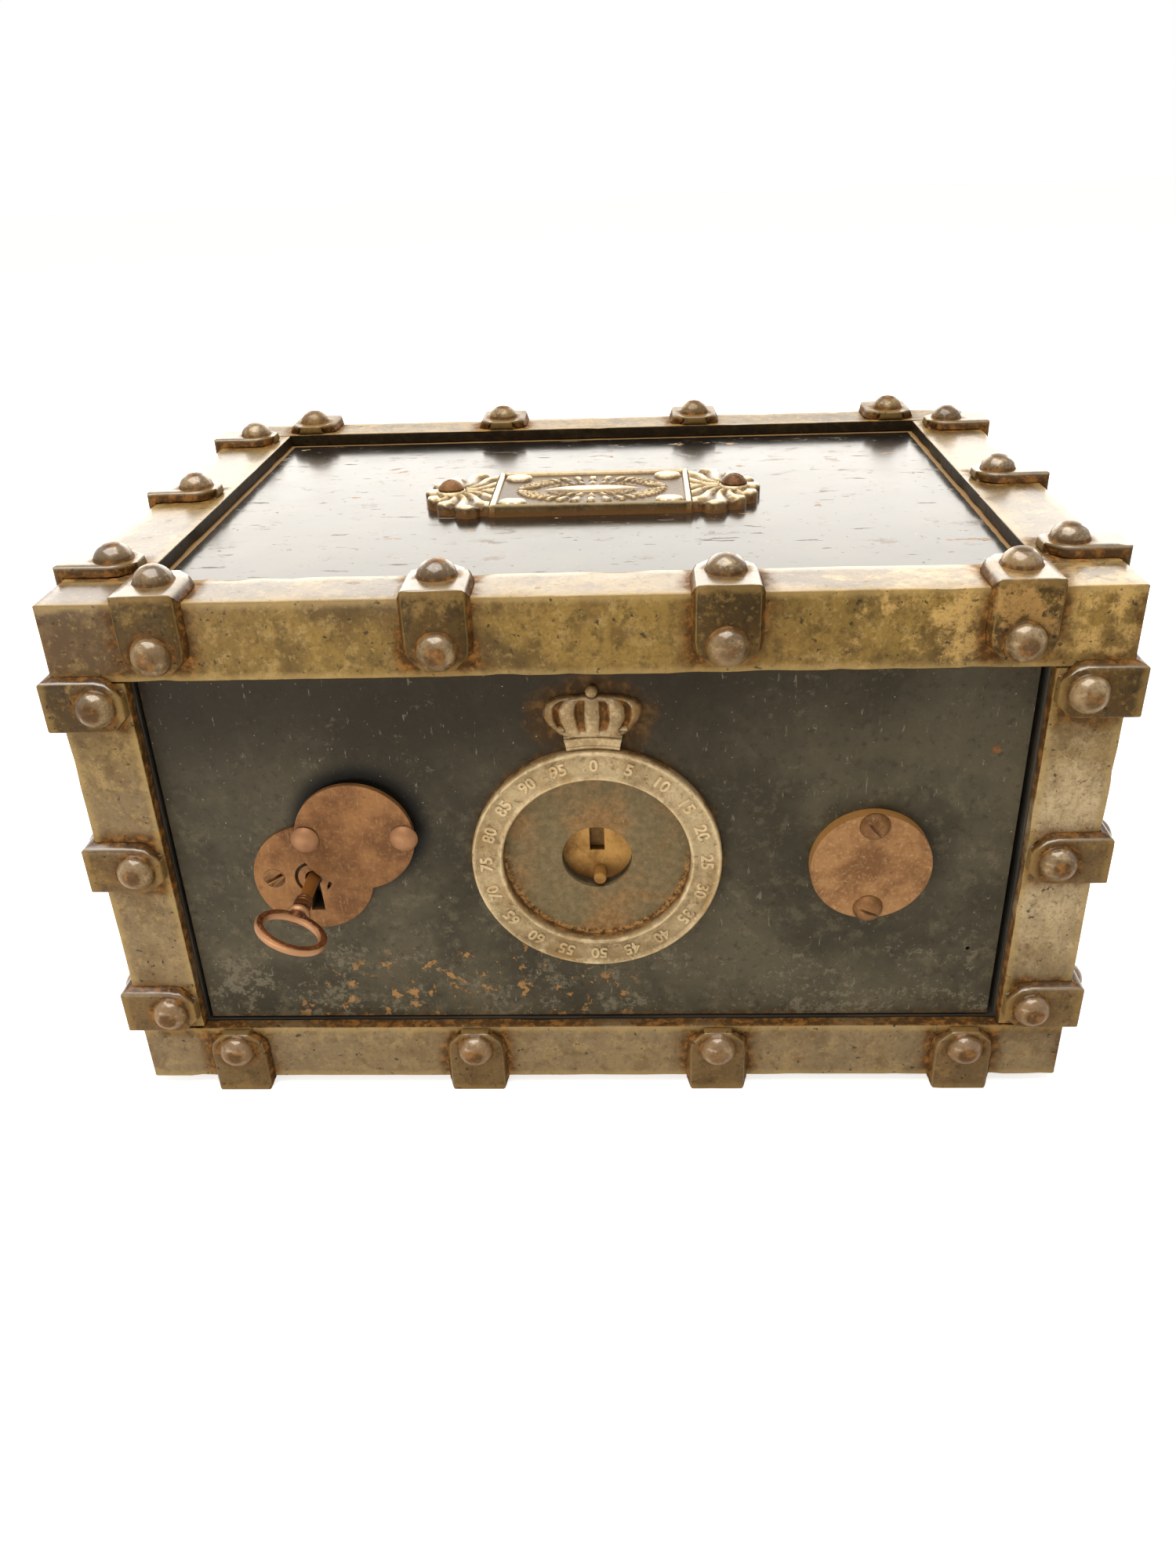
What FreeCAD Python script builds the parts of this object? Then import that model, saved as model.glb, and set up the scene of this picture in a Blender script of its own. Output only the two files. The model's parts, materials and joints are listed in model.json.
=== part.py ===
"""An antique fireproof safe: riveted angle-bar case, lined walls and a pivoting door with its locks.

Millimetres. X runs to the right, the door faces -Y, Z is up.
The origin lies on the floor, under the middle of the case.
"""
import FreeCAD, Part
import math
import os
import re

import Sketcher
from FreeCAD import Placement, Rotation, Vector

# Driving sizes
SIZES = {
    # The case, over its angle bars
    "width": 380,
    "depth": 274,
    "height": 214,
    "bar_thickness": 6,
    "bar_leg": 27,
    "top_bar_leg": 30,
    "long_flat_leg": 25,
    "side_flat_leg": 30,
    "panel_thickness": 3,
    "lining_thickness": 28,
    "liner_thickness": 1.5,
    # The straps over the bars, and their rivets
    "cleat_thickness": 4,
    "cleat_chamfer": 6,
    "long_cleat_width": 24,
    "long_cleat_face_leg": 26,
    "long_cleat_flat_leg": 24,
    "long_rivet_face": 18.3,
    "long_rivet_flat": 12,
    "short_cleat_width": 21,
    "short_cleat_leg": 26,
    "short_rivet": 15.7,
    "long_cleat_inset": 40,
    "side_cleat_inset": 38.5,
    "upright_cleat_inset": 38,
    "rivet_head_radius": 7.4,
    "rivet_head_height": 6,
    "rivet_shank_radius": 3,
    "rivet_clearance": 0.1,
    # The jamb round the doorway
    "jamb_thickness": 8,
    "stop_width": 10,
    "stop_depth": 5.7,
    "stop_inset": 2,
    "stop_gap": 0.3,
    # The door
    "door_setback": 0.5,
    "left_gap": 1.4,
    "right_gap": 2.6,
    "edge_gap": 0.9,
    "plate_thickness": 10,
    "pan_lock_inset": 6,
    "pan_hinge_inset": 10,
    "pan_edge_inset": 3,
    "pan_depth": 40,
    "pan_wall": 2,
    "works_margin": 2.6,
    "lock_plate_thickness": 3,
    "works_clearance": 0.3,
    "pivot_inset": 5,
    "pin_radius": 3,
    "pin_hold": 12,
    "pin_end_gap": 1,
    "bush_wall": 2,
    "running_clearance": 0.06,
    "press_clearance": 0.02,
    "pan_screw_inset": 14,
    "pan_screw_radius": 2.5,
    "pan_screw_hold": 6,
    "pan_head_radius": 5,
    "pan_head_height": 2.5,
    "plug_inset": 11.4,
    "plug_rise": 44.5,
    "plug_radius": 1.8,
    "plug_depth": 4,
    # The hub in the middle of the door, and the bolts that it drives
    "hub_x": 2.5,
    "hub_drop": 2,
    "socket_radius": 13.5,
    "socket_depth": 5.5,
    "flange_overlap": 2.5,
    "hub_shaft_radius": 6,
    "hub_journal_radius": 5,
    "hub_slot_width": 5.7,
    "hub_slot_depth": 3.5,
    "drive_pin_radius": 2.5,
    "drive_pin_side": 1,
    "drive_pin_drop": 9,
    "drive_pin_reach": 7,
    "drive_pin_hold": 3,
    "bolt_pitch_radius": 10,
    "bolt_teeth": 10,
    "bolt_width": 8,
    "bolt_thickness": 5,
    "tooth_backlash": 0.3,
    "tooth_clearance": 0.4,
    "guide_gap": 0.5,
    "guide_wall": 2.2,
    "guide_length": 8,
    "guide_inset": 12,
    # The key lock
    "key_inset": 53.1,
    "key_drop": 9,
    "key_pitch_radius": 7.5,
    "key_teeth": 10,
    "key_rest_angle": 155,
    "barrel_wall": 1.3,
    "barrel_depth": 8,
    "barrel_journal_radius": 4,
    "lock_bolt_height": 16,
    "lock_bolt_thickness": 4.8,
    "shank_radius": 2.5,
    "shank_reach": 22.5,
    "collar_radius": 4.6,
    "collar_length": 5,
    "bow_half_width": 12,
    "bow_half_length": 9.2,
    "bow_wire_radius": 1.9,
    "bit_length": 13,
    "bit_thickness": 3,
    "key_clearance": 0.2,
    "keyhole_clearance": 0.7,
    "keyhole_side_gap": 0.8,
    "keyhole_foot_gap": 2,
    "keyhole_flare": 1.5,
    "ward_radius": 7.3,
    "ward_width": 1.2,
    "ward_bridge": 9.8,
    # The round plates on the door front
    "escutcheon_radius": 23.5,
    "escutcheon_thickness": 2,
    "escutcheon_screw_inset": 8,
    "flat_screw_radius": 4.2,
    "flat_screw_shank": 1.8,
    "flat_screw_length": 8,
    "cover_radius": 23,
    "cover_thickness": 2.5,
    "cover_pivot_inset": 4,
    "cover_gap": 0.3,
    "knob_radius": 5.6,
    "knob_height": 3.6,
    "knob_shank": 2.5,
    "cover_pivot_hold": 6,
    "blank_inset": 53.7,
    "blank_drop": 4.5,
    "blank_radius": 23,
    "blank_thickness": 5.5,
    "blank_screw_inset": 4.7,
    "round_screw_radius": 5.8,
    "round_screw_height": 4,
    "round_screw_shank": 2,
    "round_screw_hold": 7,
    "screw_slot_width": 1.4,
    "screw_slot_depth": 1.6,
    # The dial ring and its crown
    "ring_outer_radius": 48,
    "ring_inner_radius": 36,
    "ring_thickness": 5,
    "ring_edge": 1.2,
    "crown_width": 36,
    "crown_band_height": 6,
    "crown_gap": 4.7,
    "crown_thickness": 5,
    "crown_ball_radius": 2.6,
    # The cast plate on the top panel
    "name_length": 86,
    "name_depth": 53,
    "name_thickness": 5.4,
    "name_shift": 2.5,
    "fan_radius": 23,
    "fan_lobe_radius": 7.4,
    "name_screw_reach": 19,
}

# Gear teeth: heights in modules, and the rack's teeth counted from the line of centres
PRESSURE_ANGLE = math.radians(20)
RACK_ADDENDUM = 0.55
PINION_ADDENDUM = 0.75
FLANK_STEPS = 3
RACK_STEPS = range(-2, 4)
HALF_STEP = 0.5
HUB_PHASE = 0
KEY_PHASE = 90

# The crown's lobes: shares of its width across, and of the rise over its band upwards
LOBE_PITCH = 0.175
LOBE_HALF_WIDTH = 0.13
LOBE_HALF_HEIGHT = 0.61
LOBE_SHORTENING = 0.076
LOBE_CENTRE = 0.45
LOBE_DROP = 0.02
LOBE_LEAN = 16

# Counts and angles of what repeats
LONG_CLEAT_COUNT = 4
SIDE_CLEAT_COUNT = 3
UPRIGHT_CLEAT_COUNT = 3
FAN_ANGLES = (-64, -32, 0, 32, 64)

# Places worked out from the driving sizes
PLACES = {
    "left": "-width / 2",
    "right": "width / 2",
    "front": "-depth / 2",
    "back": "depth / 2",
    "bottom": "cleat_thickness",
    "top": "bottom + height",
    "middle": "bottom + height / 2",
    "shell_left": "left + bar_thickness",
    "shell_right": "right - bar_thickness",
    "shell_front": "front + bar_thickness",
    "shell_back": "back - bar_thickness",
    "shell_bottom": "bottom + bar_thickness",
    "shell_top": "top - bar_thickness",
    "in_left": "shell_left + panel_thickness",
    "in_right": "shell_right - panel_thickness",
    "in_back": "shell_back - panel_thickness",
    "in_bottom": "shell_bottom + panel_thickness",
    "in_top": "shell_top - panel_thickness",
    "liner_left": "in_left + lining_thickness",
    "liner_right": "in_right - lining_thickness",
    "liner_back": "in_back - lining_thickness",
    "liner_bottom": "in_bottom + lining_thickness",
    "liner_top": "in_top - lining_thickness",
    "open_left": "left + bar_leg",
    "open_right": "right - bar_leg",
    "open_bottom": "bottom + bar_leg",
    "open_top": "top - top_bar_leg",
    "jamb_back": "pan_back + stop_gap + stop_depth + liner_thickness",
    "flange_front": "jamb_back - liner_thickness",
    "door_left": "open_left + left_gap",
    "door_right": "open_right - right_gap",
    "door_bottom": "open_bottom + edge_gap",
    "door_top": "open_top - edge_gap",
    "door_front": "shell_front + door_setback",
    "door_back": "door_front + plate_thickness",
    "pan_left": "door_left + pan_lock_inset",
    "pan_right": "door_right - pan_hinge_inset",
    "pan_bottom": "door_bottom + pan_edge_inset",
    "pan_top": "door_top - pan_edge_inset",
    "pan_back": "door_back + pan_depth",
    "pan_floor": "pan_back - pan_wall",
    "works_back": "lock_bolt_back + works_margin",
    "lock_plate_back": "works_back + lock_plate_thickness",
    "pivot_x": "door_right - pivot_inset",
    "pivot_y": "door_front + plate_thickness / 2",
    "bush_radius": "pin_radius + bush_wall",
    "pin_reach": "jamb_thickness - pin_end_gap",
    "plug_x": "door_right - plug_inset",
    "hub_z": "middle - hub_drop",
    "hub_flange_radius": "socket_radius + flange_overlap",
    "socket_floor": "door_front + socket_depth",
    "bolt_module": "2 * bolt_pitch_radius / bolt_teeth",
    "bolt_front": "door_back + guide_gap + guide_wall + works_clearance",
    "bolt_back": "bolt_front + bolt_thickness",
    "bolt_near": "bolt_pitch_radius + bolt_module * %g + tooth_clearance" % PINION_ADDENDUM,
    "bolt_far": "bolt_near + bolt_width",
    "bolt_pitch": "pi * bolt_module",
    "key_x": "door_left + key_inset",
    "key_z": "middle - key_drop",
    "key_module": "2 * key_pitch_radius / key_teeth",
    "key_pitch": "pi * key_module",
    "keyhole_radius": "shank_radius + keyhole_clearance",
    "keyhole_drop": "bit_length + keyhole_foot_gap",
    "keyhole_neck": "bit_thickness + keyhole_side_gap",
    "keyhole_foot": "keyhole_neck + keyhole_flare",
    "barrel_radius": "bit_length + key_clearance + barrel_wall",
    "barrel_front": "door_back + works_clearance",
    "barrel_back": "barrel_front + barrel_depth",
    "lock_bolt_front": "barrel_back + works_clearance",
    "lock_bolt_back": "lock_bolt_front + lock_bolt_thickness",
    "lock_bolt_low": "key_z + key_pitch_radius + key_module * %g + tooth_clearance" % PINION_ADDENDUM,
    "lock_bolt_high": "lock_bolt_low + lock_bolt_height",
    "escutcheon_front": "door_front - escutcheon_thickness",
    "cover_back": "escutcheon_front - cover_gap",
    "cover_front": "cover_back - cover_thickness",
    "escutcheon_screw_offset": "escutcheon_radius - escutcheon_screw_inset",
    "cover_z": "key_z + escutcheon_radius - cover_pivot_inset",
    "cover_arm": "cover_radius - cover_pivot_inset",
    "knob_x": "key_x + 2 * cover_arm",
    "blank_x": "door_right - blank_inset",
    "blank_z": "middle - blank_drop",
    "blank_screw_offset": "blank_radius - blank_screw_inset",
    "blank_front": "door_front - blank_thickness",
    "ring_front": "door_front - ring_thickness",
    "crown_z": "hub_z + ring_outer_radius",
    "crown_rise": "door_top - crown_gap - crown_z",
    "crown_lift": "crown_z + crown_band_height",
    "dome_rise": "crown_rise - crown_band_height - 2 * crown_ball_radius",
    "name_top": "shell_top + name_thickness",
    "fan_centre": "name_length / 2",
    "name_screw_x": "fan_centre + name_screw_reach",
    "rivet_hole": "rivet_shank_radius + rivet_clearance",
}

WORD = re.compile(r"[A-Za-z_][A-Za-z_0-9]*")

# Turns that carry a piece made upright, or on the front top edge, to where it belongs
UPRIGHT = Rotation()
FRONTWARD = Rotation(Vector(1, 0, 0), 90)
BACKWARD = Rotation(Vector(1, 0, 0), -90)
HALF_X = Rotation(Vector(1, 0, 0), 180)
HALF_Y = Rotation(Vector(0, 1, 0), 180)
HALF_Z = Rotation(Vector(0, 0, 1), 180)
LEFTWARD = Rotation(Vector(0, 0, 1), -90)
RIGHTWARD = Rotation(Vector(0, 0, 1), 90)
TO_RIGHT_EDGE = Rotation(Vector(0, 1, 0), 90)
TO_LEFT_EDGE = Rotation(Vector(0, 1, 0), -90)

doc = FreeCAD.newDocument("strong_box")
sheet = doc.addObject("Spreadsheet::Sheet", "Sizes")
nodes = []


def fill_sheet():
    """Writes each driving size to a cell of its own and names the cell."""
    for row, (name, number) in enumerate(SIZES.items(), 1):
        sheet.set("A%d" % row, name)
        sheet.set("B%d" % row, str(number))
        sheet.setAlias("B%d" % row, name)
    doc.recompute()


def bound(text):
    """Spells out a formula so that every word in it is a cell of the sheet."""
    def spell(match):
        word = match.group(0)
        if word in SIZES:
            return "Sizes." + word
        if word in PLACES:
            return "(" + bound(PLACES[word]) + ")"
        return word
    return WORD.sub(spell, str(text))


def number(text):
    """The present value of a formula."""
    return float(sheet.evalExpression(bound(text)))


def bind(thing, **formulas):
    """Ties properties of an object to the sheet."""
    for name, text in formulas.items():
        thing.setExpression(name, bound(text))


def put(thing, x, y, z, turn=UPRIGHT):
    """Places an object at a point given by three formulas."""
    thing.Placement = Placement(Vector(number(x), number(y), number(z)), turn)
    for name, text in zip("xyz", (x, y, z)):
        thing.setExpression("Placement.Base." + name, bound(text))
    return thing


def node(thing, label):
    """Names a finished sub-part."""
    thing.Label = label
    nodes.append(thing)
    return thing


def box(x, y, z):
    """A block between two formulas on each axis."""
    block = doc.addObject("Part::Box", "block")
    spans = ["(%s) - (%s)" % (high, low) for low, high in (x, y, z)]
    bind(block, Length=spans[0], Width=spans[1], Height=spans[2])
    return put(block, x[0], y[0], z[0])


def rod(radius, start, length, turn=UPRIGHT):
    """A round bar from a start point, along the turned Z axis."""
    bar = doc.addObject("Part::Cylinder", "rod")
    bind(bar, Radius=radius, Height=length)
    return put(bar, *start, turn)


def rod_y(radius, x, z, low, high):
    """A round bar along Y between two formulas."""
    return rod(radius, (x, low, z), "(%s) - (%s)" % (high, low), BACKWARD)


def rod_z(radius, x, y, low, high):
    """An upright round bar between two formulas."""
    return rod(radius, (x, y, low), "(%s) - (%s)" % (high, low))


def cap(radius, rise, start, turn=UPRIGHT):
    """A low dome on a flat base, with its base's middle at the start point."""
    ball = "((%s)^2 + (%s)^2) / (2 * (%s))" % (radius, rise, rise)
    dome = doc.addObject("Part::Sphere", "dome")
    bind(dome, Radius=ball, Angle1="asin(1 - (%s) / (%s))" % (rise, ball))
    lower = "(%s) - (%s)" % (rise, ball)
    shift = turn.multVec(Vector(0, 0, 1))
    place = ["(%s) + (%s) * (%g)" % (start[i], lower, round(shift[i])) for i in range(3)]
    return put(dome, *place, turn)


def fuse(*things):
    """Several solids that meet, as one."""
    whole = doc.addObject("Part::MultiFuse", "whole")
    whole.Shapes = list(things)
    whole.Refine = True
    return whole


def cut(base, *tools):
    """A solid less one or more others."""
    for tool in tools:
        less = doc.addObject("Part::Cut", "less")
        less.Base = base
        less.Tool = tool
        base = less
    return base


def bundle(*things):
    """Separate solids of one sub-part."""
    together = doc.addObject("Part::Compound", "together")
    together.Links = list(things)
    return together


def fixed(shape, name="made"):
    """A shape that no primitive or sketch gives, as an object."""
    thing = doc.addObject("Part::Feature", name)
    thing.Shape = shape
    return thing


def copies(thing, placements):
    """Copies of one solid at several placements, as separate solids."""
    doc.recompute()
    solids = []
    for placement in placements:
        solid = thing.Shape.copy()
        solid.Placement = placement.multiply(thing.Shape.Placement)
        solids.append(solid)
    return fixed(Part.makeCompound(solids), "copies")


def outline(body, role, points, name="outline"):
    """A closed sketch of straight lines, each corner held by two formulas."""
    sketch = body.newObject("Sketcher::SketchObject", name)
    plane = [part for part in body.Origin.OriginFeatures if part.Role == role][0]
    sketch.AttachmentSupport = [(plane, "")]
    sketch.MapMode = "FlatFace"
    corners = [Vector(number(across), number(up), 0) for across, up in points]
    count = len(points)
    for i in range(count):
        sketch.addGeometry(Part.LineSegment(corners[i], corners[(i + 1) % count]), False)
    for i in range(count):
        sketch.addConstraint(Sketcher.Constraint("Coincident", i, 2, (i + 1) % count, 1))
    for i, (across, up) in enumerate(points):
        row = sketch.addConstraint(Sketcher.Constraint("DistanceX", -1, 1, i, 1, corners[i].x))
        sketch.setExpression("Constraints[%d]" % row, bound(across))
        row = sketch.addConstraint(Sketcher.Constraint("DistanceY", -1, 1, i, 1, corners[i].y))
        sketch.setExpression("Constraints[%d]" % row, bound(up))
    return sketch


def pad(body, role, points, length):
    """Adds a padded outline to a body."""
    raised = body.newObject("PartDesign::Pad", "pad")
    raised.Profile = outline(body, role, points)
    bind(raised, Length=length)
    return raised


def turned(points, start, turn=UPRIGHT):
    """A turned piece: an outline of radius and height spun about its own axis."""
    body = doc.addObject("PartDesign::Body", "turned")
    spun = body.newObject("PartDesign::Revolution", "spun")
    spun.Profile = outline(body, "XZ_Plane", points)
    spun.ReferenceAxis = (spun.Profile[0], ["V_Axis"])
    spun.Angle = 360
    return put(body, *start, turn)


# The case

def angle_bar(label, face, flat, holes):
    """An L-section bar of two legs, drilled for the rivets of its cleats."""
    node(cut(fuse(box(*face), box(*flat)), holes), label)


def bars(holes):
    """The twelve bars: the long ones run through, the others are fitted between them."""
    across = ("left", "right")
    rows = {
        "top": (("top - top_bar_leg", "top"), ("top - bar_thickness", "top")),
        "bottom": (("bottom", "bottom + bar_leg"), ("bottom", "bottom + bar_thickness")),
    }
    faces = {
        "front": (("front", "shell_front"), ("shell_front", "front + long_flat_leg")),
        "back": (("shell_back", "back"), ("back - long_flat_leg", "shell_back")),
    }
    sides = {
        "left": (("left", "shell_left"), ("left", "left + side_flat_leg"), ("left", "open_left")),
        "right": (("shell_right", "right"), ("right - side_flat_leg", "right"), ("open_right", "right")),
    }
    returns = {
        "front": ("shell_front", "front + bar_leg"),
        "back": ("back - bar_leg", "shell_back"),
    }
    skirts = {
        "top": ("top - top_bar_leg", "shell_top"),
        "bottom": ("shell_bottom", "bottom + bar_leg"),
    }
    for row, (tall, thin) in rows.items():
        for face, (skin, shelf) in faces.items():
            label = "%s_%s" % (face, row)
            angle_bar(label + "_bar", (across, skin, tall), (across, shelf, thin), holes[label])
        for side, (skin, shelf, _) in sides.items():
            label = "%s_%s" % (row, side)
            flat = (shelf, ("front + long_flat_leg", "back - long_flat_leg"), thin)
            skirt = (skin, ("front + bar_leg", "back - bar_leg"), skirts[row])
            angle_bar(label + "_bar", skirt, flat, holes[label])
    for face, (skin, _) in faces.items():
        for side, (edge, _, wide) in sides.items():
            label = "%s_%s" % (face, side)
            upright = (wide, skin, ("open_bottom", "open_top"))
            flank = (edge, returns[face], ("shell_bottom", "shell_top"))
            angle_bar(label + "_bar", upright, flank, holes[label])


def cleat(width, face_leg, flat_leg, face_rivet, flat_rivet):
    """A strap bent over the front top edge, with clipped ends and two rivet holes."""
    body = doc.addObject("PartDesign::Body", "cleat")
    half = "%s / 2" % width
    clipped = "%s / 2 - cleat_chamfer" % width

    def tongue(root, bend, tip):
        return [
            ("-" + half, root),
            (half, root),
            (half, bend),
            (clipped, tip),
            ("-(%s)" % clipped, tip),
            ("-" + half, bend),
        ]

    face = tongue("cleat_thickness", "cleat_chamfer - " + face_leg, "-" + face_leg)
    flat = tongue("-cleat_thickness", flat_leg + " - cleat_chamfer", flat_leg)
    pad(body, "XZ_Plane", face, "cleat_thickness")
    pad(body, "XY_Plane", flat, "cleat_thickness")
    face_hole = rod_y("rivet_hole", "0", "-" + face_rivet, "-2 * cleat_thickness", "cleat_thickness")
    flat_hole = rod_z("rivet_hole", "0", flat_rivet, "-cleat_thickness", "2 * cleat_thickness")
    return cut(body, face_hole, flat_hole)


def row_of(count, reach):
    """Places along an edge, even about its middle, from one end's cleat to the other's."""
    return [(2 * i / (count - 1) - 1) * number(reach) for i in range(count)]


def edges():
    """Each edge: name, point, turn from the front top edge, places of its cleats, kind."""
    x_edges = [
        ("front_top", UPRIGHT),
        ("back_top", HALF_Z),
        ("front_bottom", HALF_Y),
        ("back_bottom", HALF_X),
    ]
    y_edges = [
        ("top_left", LEFTWARD),
        ("top_right", RIGHTWARD),
        ("bottom_left", LEFTWARD.multiply(HALF_Y)),
        ("bottom_right", RIGHTWARD.multiply(HALF_Y)),
    ]
    z_edges = [
        ("front_left", TO_LEFT_EDGE),
        ("front_right", TO_RIGHT_EDGE),
        ("back_left", HALF_Z.multiply(TO_RIGHT_EDGE)),
        ("back_right", HALF_Z.multiply(TO_LEFT_EDGE)),
    ]
    point = {
        "front": Vector(0, number("front"), 0),
        "back": Vector(0, number("back"), 0),
        "left": Vector(number("left"), 0, 0),
        "right": Vector(number("right"), 0, 0),
        "top": Vector(0, 0, number("top")),
        "bottom": Vector(0, 0, number("bottom")),
    }
    middle = Vector(0, 0, number("middle"))
    found = []
    for group, kind, count, reach in (
        (x_edges, "long", LONG_CLEAT_COUNT, "width / 2 - long_cleat_inset"),
        (y_edges, "side", SIDE_CLEAT_COUNT, "depth / 2 - side_cleat_inset"),
        (z_edges, "upright", UPRIGHT_CLEAT_COUNT, "height / 2 - upright_cleat_inset"),
    ):
        for name, turn in group:
            first, second = name.split("_")
            corner = point[first] + point[second]
            if kind == "upright":
                corner = corner + middle
            found.append((name, corner, turn, row_of(count, reach), kind))
    return found


def cleats_and_rivets():
    """All straps and rivets; gives back the rivet holes of each edge."""
    offsets = {"long": ("long_rivet_face", "long_rivet_flat"), "short": ("short_rivet", "short_rivet")}
    straps = {
        "long": cleat("long_cleat_width", "long_cleat_face_leg", "long_cleat_flat_leg", *offsets["long"]),
        "short": cleat("short_cleat_width", "short_cleat_leg", "short_cleat_leg", *offsets["short"]),
    }
    grip = "cleat_thickness + bar_thickness"
    shank = rod("rivet_shank_radius", ("0", "0", "-(%s)" % grip), grip)
    domed = fuse(cap("rivet_head_radius", "rivet_head_height", ("0", "0", "0")), shank)
    flush = rod("rivet_shank_radius", ("0", "0", "-(%s)" % grip), grip)
    drill = rod("rivet_hole", ("0", "0", "-2 * (%s)" % grip), "3 * (%s)" % grip)
    places = {"long": [], "side": [], "upright": []}
    dome_places = []
    flush_places = []
    holes = {}
    for name, corner, turn, row, kind in edges():
        size = "long" if kind == "long" else "short"
        face_offset, flat_offset = (number(text) for text in offsets[size])
        thick = number("cleat_thickness")
        edge_places = []
        for along in row:
            place = Placement(corner, turn).multiply(Placement(Vector(along, 0, 0), UPRIGHT))
            places[kind].append(place)
            on_face = place.multiply(Placement(Vector(0, -thick, -face_offset), FRONTWARD))
            on_flat = place.multiply(Placement(Vector(0, flat_offset, thick), UPRIGHT))
            dome_places.append(on_face)
            (flush_places if "bottom" in name else dome_places).append(on_flat)
            edge_places += [on_face, on_flat]
        holes[name] = copies(drill, edge_places)
    node(copies(straps["long"], places["long"]), "long_edge_cleats")
    node(copies(straps["short"], places["side"]), "side_edge_cleats")
    node(copies(straps["short"], places["upright"]), "upright_cleats")
    node(copies(domed, dome_places), "dome_rivets")
    node(copies(flush, flush_places), "flush_rivets")
    return holes


def panels():
    """The five outer sheets behind the bars."""
    across = ("shell_left", "shell_right")
    through = ("shell_front", "shell_back")
    tall = ("in_bottom", "in_top")
    screw_holes = [rod_z("round_screw_shank + press_clearance", side + "name_screw_x", "name_shift",
                         "in_top", "shell_top") for side in ("-", "")]
    node(cut(box(across, through, ("in_top", "shell_top")), *screw_holes), "top_panel")
    node(box(across, through, ("shell_bottom", "in_bottom")), "bottom_panel")
    node(box(("shell_left", "in_left"), through, tall), "left_panel")
    node(box(("in_right", "shell_right"), through, tall), "right_panel")
    node(box(("in_left", "in_right"), ("in_back", "shell_back"), tall), "back_panel")


def lining():
    """Fire lining: slabs round the jamb, slabs round the liner, and the liner itself."""
    wide = ("in_left", "in_right")
    near = ("shell_front", "jamb_back")
    far = ("jamb_back", "in_back")
    by_jamb = ("open_bottom - jamb_thickness", "open_top + jamb_thickness")
    by_liner = ("liner_bottom", "liner_top")
    node(bundle(
        box(wide, near, ("open_top + jamb_thickness", "in_top")),
        box(wide, near, ("in_bottom", "open_bottom - jamb_thickness")),
        box(("in_left", "open_left - jamb_thickness"), near, by_jamb),
        box(("open_right + jamb_thickness", "in_right"), near, by_jamb),
    ), "front_lining")
    node(bundle(
        box(wide, far, ("liner_top", "in_top")),
        box(wide, far, ("in_bottom", "liner_bottom")),
        box(("in_left", "liner_left"), far, by_liner),
        box(("liner_right", "in_right"), far, by_liner),
        box(("liner_left", "liner_right"), ("liner_back", "in_back"), by_liner),
    ), "wall_lining")
    hollow_x = ("liner_left + liner_thickness", "liner_right - liner_thickness")
    hollow_z = ("liner_bottom + liner_thickness", "liner_top - liner_thickness")
    tray = box(("liner_left", "liner_right"), ("jamb_back", "liner_back"), by_liner)
    flange = box(("open_left", "open_right"), ("flange_front", "jamb_back"), ("open_bottom", "open_top"))
    hollow = box(hollow_x, ("flange_front - liner_thickness", "liner_back - liner_thickness"), hollow_z)
    node(cut(fuse(tray, flange), hollow), "inner_liner")


def jamb():
    """The four jamb members, with bores for the pivot bushes and mortises for the bolts."""
    outer_x = ("open_left - jamb_thickness", "open_right + jamb_thickness")
    run = ("shell_front", "jamb_back")
    above = ("open_top", "open_top + jamb_thickness")
    below = ("open_bottom - jamb_thickness", "open_bottom")
    bush_bore = "bush_radius + press_clearance"
    bolt_y = ("bolt_front - works_clearance", "bolt_back + works_clearance")
    upper_x = ("hub_x + bolt_near - works_clearance", "hub_x + bolt_far + works_clearance")
    lower_x = ("hub_x - bolt_far - works_clearance", "hub_x - bolt_near + works_clearance")
    rails = []
    for rail_z, mortise_x in ((above, upper_x), (below, lower_x)):
        bore = rod_z(bush_bore, "pivot_x", "pivot_y", *rail_z)
        rails.append(cut(box(outer_x, run, rail_z), bore, box(mortise_x, bolt_y, rail_z)))
    lock_x = ("open_left - jamb_thickness", "open_left")
    mortise = box(
        lock_x,
        ("lock_bolt_front - works_clearance", "lock_bolt_back + works_clearance"),
        ("lock_bolt_low - works_clearance", "lock_bolt_high + works_clearance"),
    )
    lock_side = cut(box(lock_x, run, ("open_bottom", "open_top")), mortise)
    hinge_side = box(("open_right", "open_right + jamb_thickness"), run, ("open_bottom", "open_top"))
    node(bundle(*rails, lock_side, hinge_side), "door_jamb")
    bushes = []
    for low, high in (above, below):
        shell = rod_z("bush_radius", "pivot_x", "pivot_y", low, high)
        bushes.append(cut(shell, rod_z("pin_radius + running_clearance", "pivot_x", "pivot_y", low, high)))
    node(bundle(*bushes), "pivot_bushes")
    stop_x = ("open_left + stop_inset", "open_left + stop_inset + stop_width")
    node(box(stop_x, ("pan_back + stop_gap", "flange_front"), ("liner_bottom", "liner_top")), "door_stop")


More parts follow.
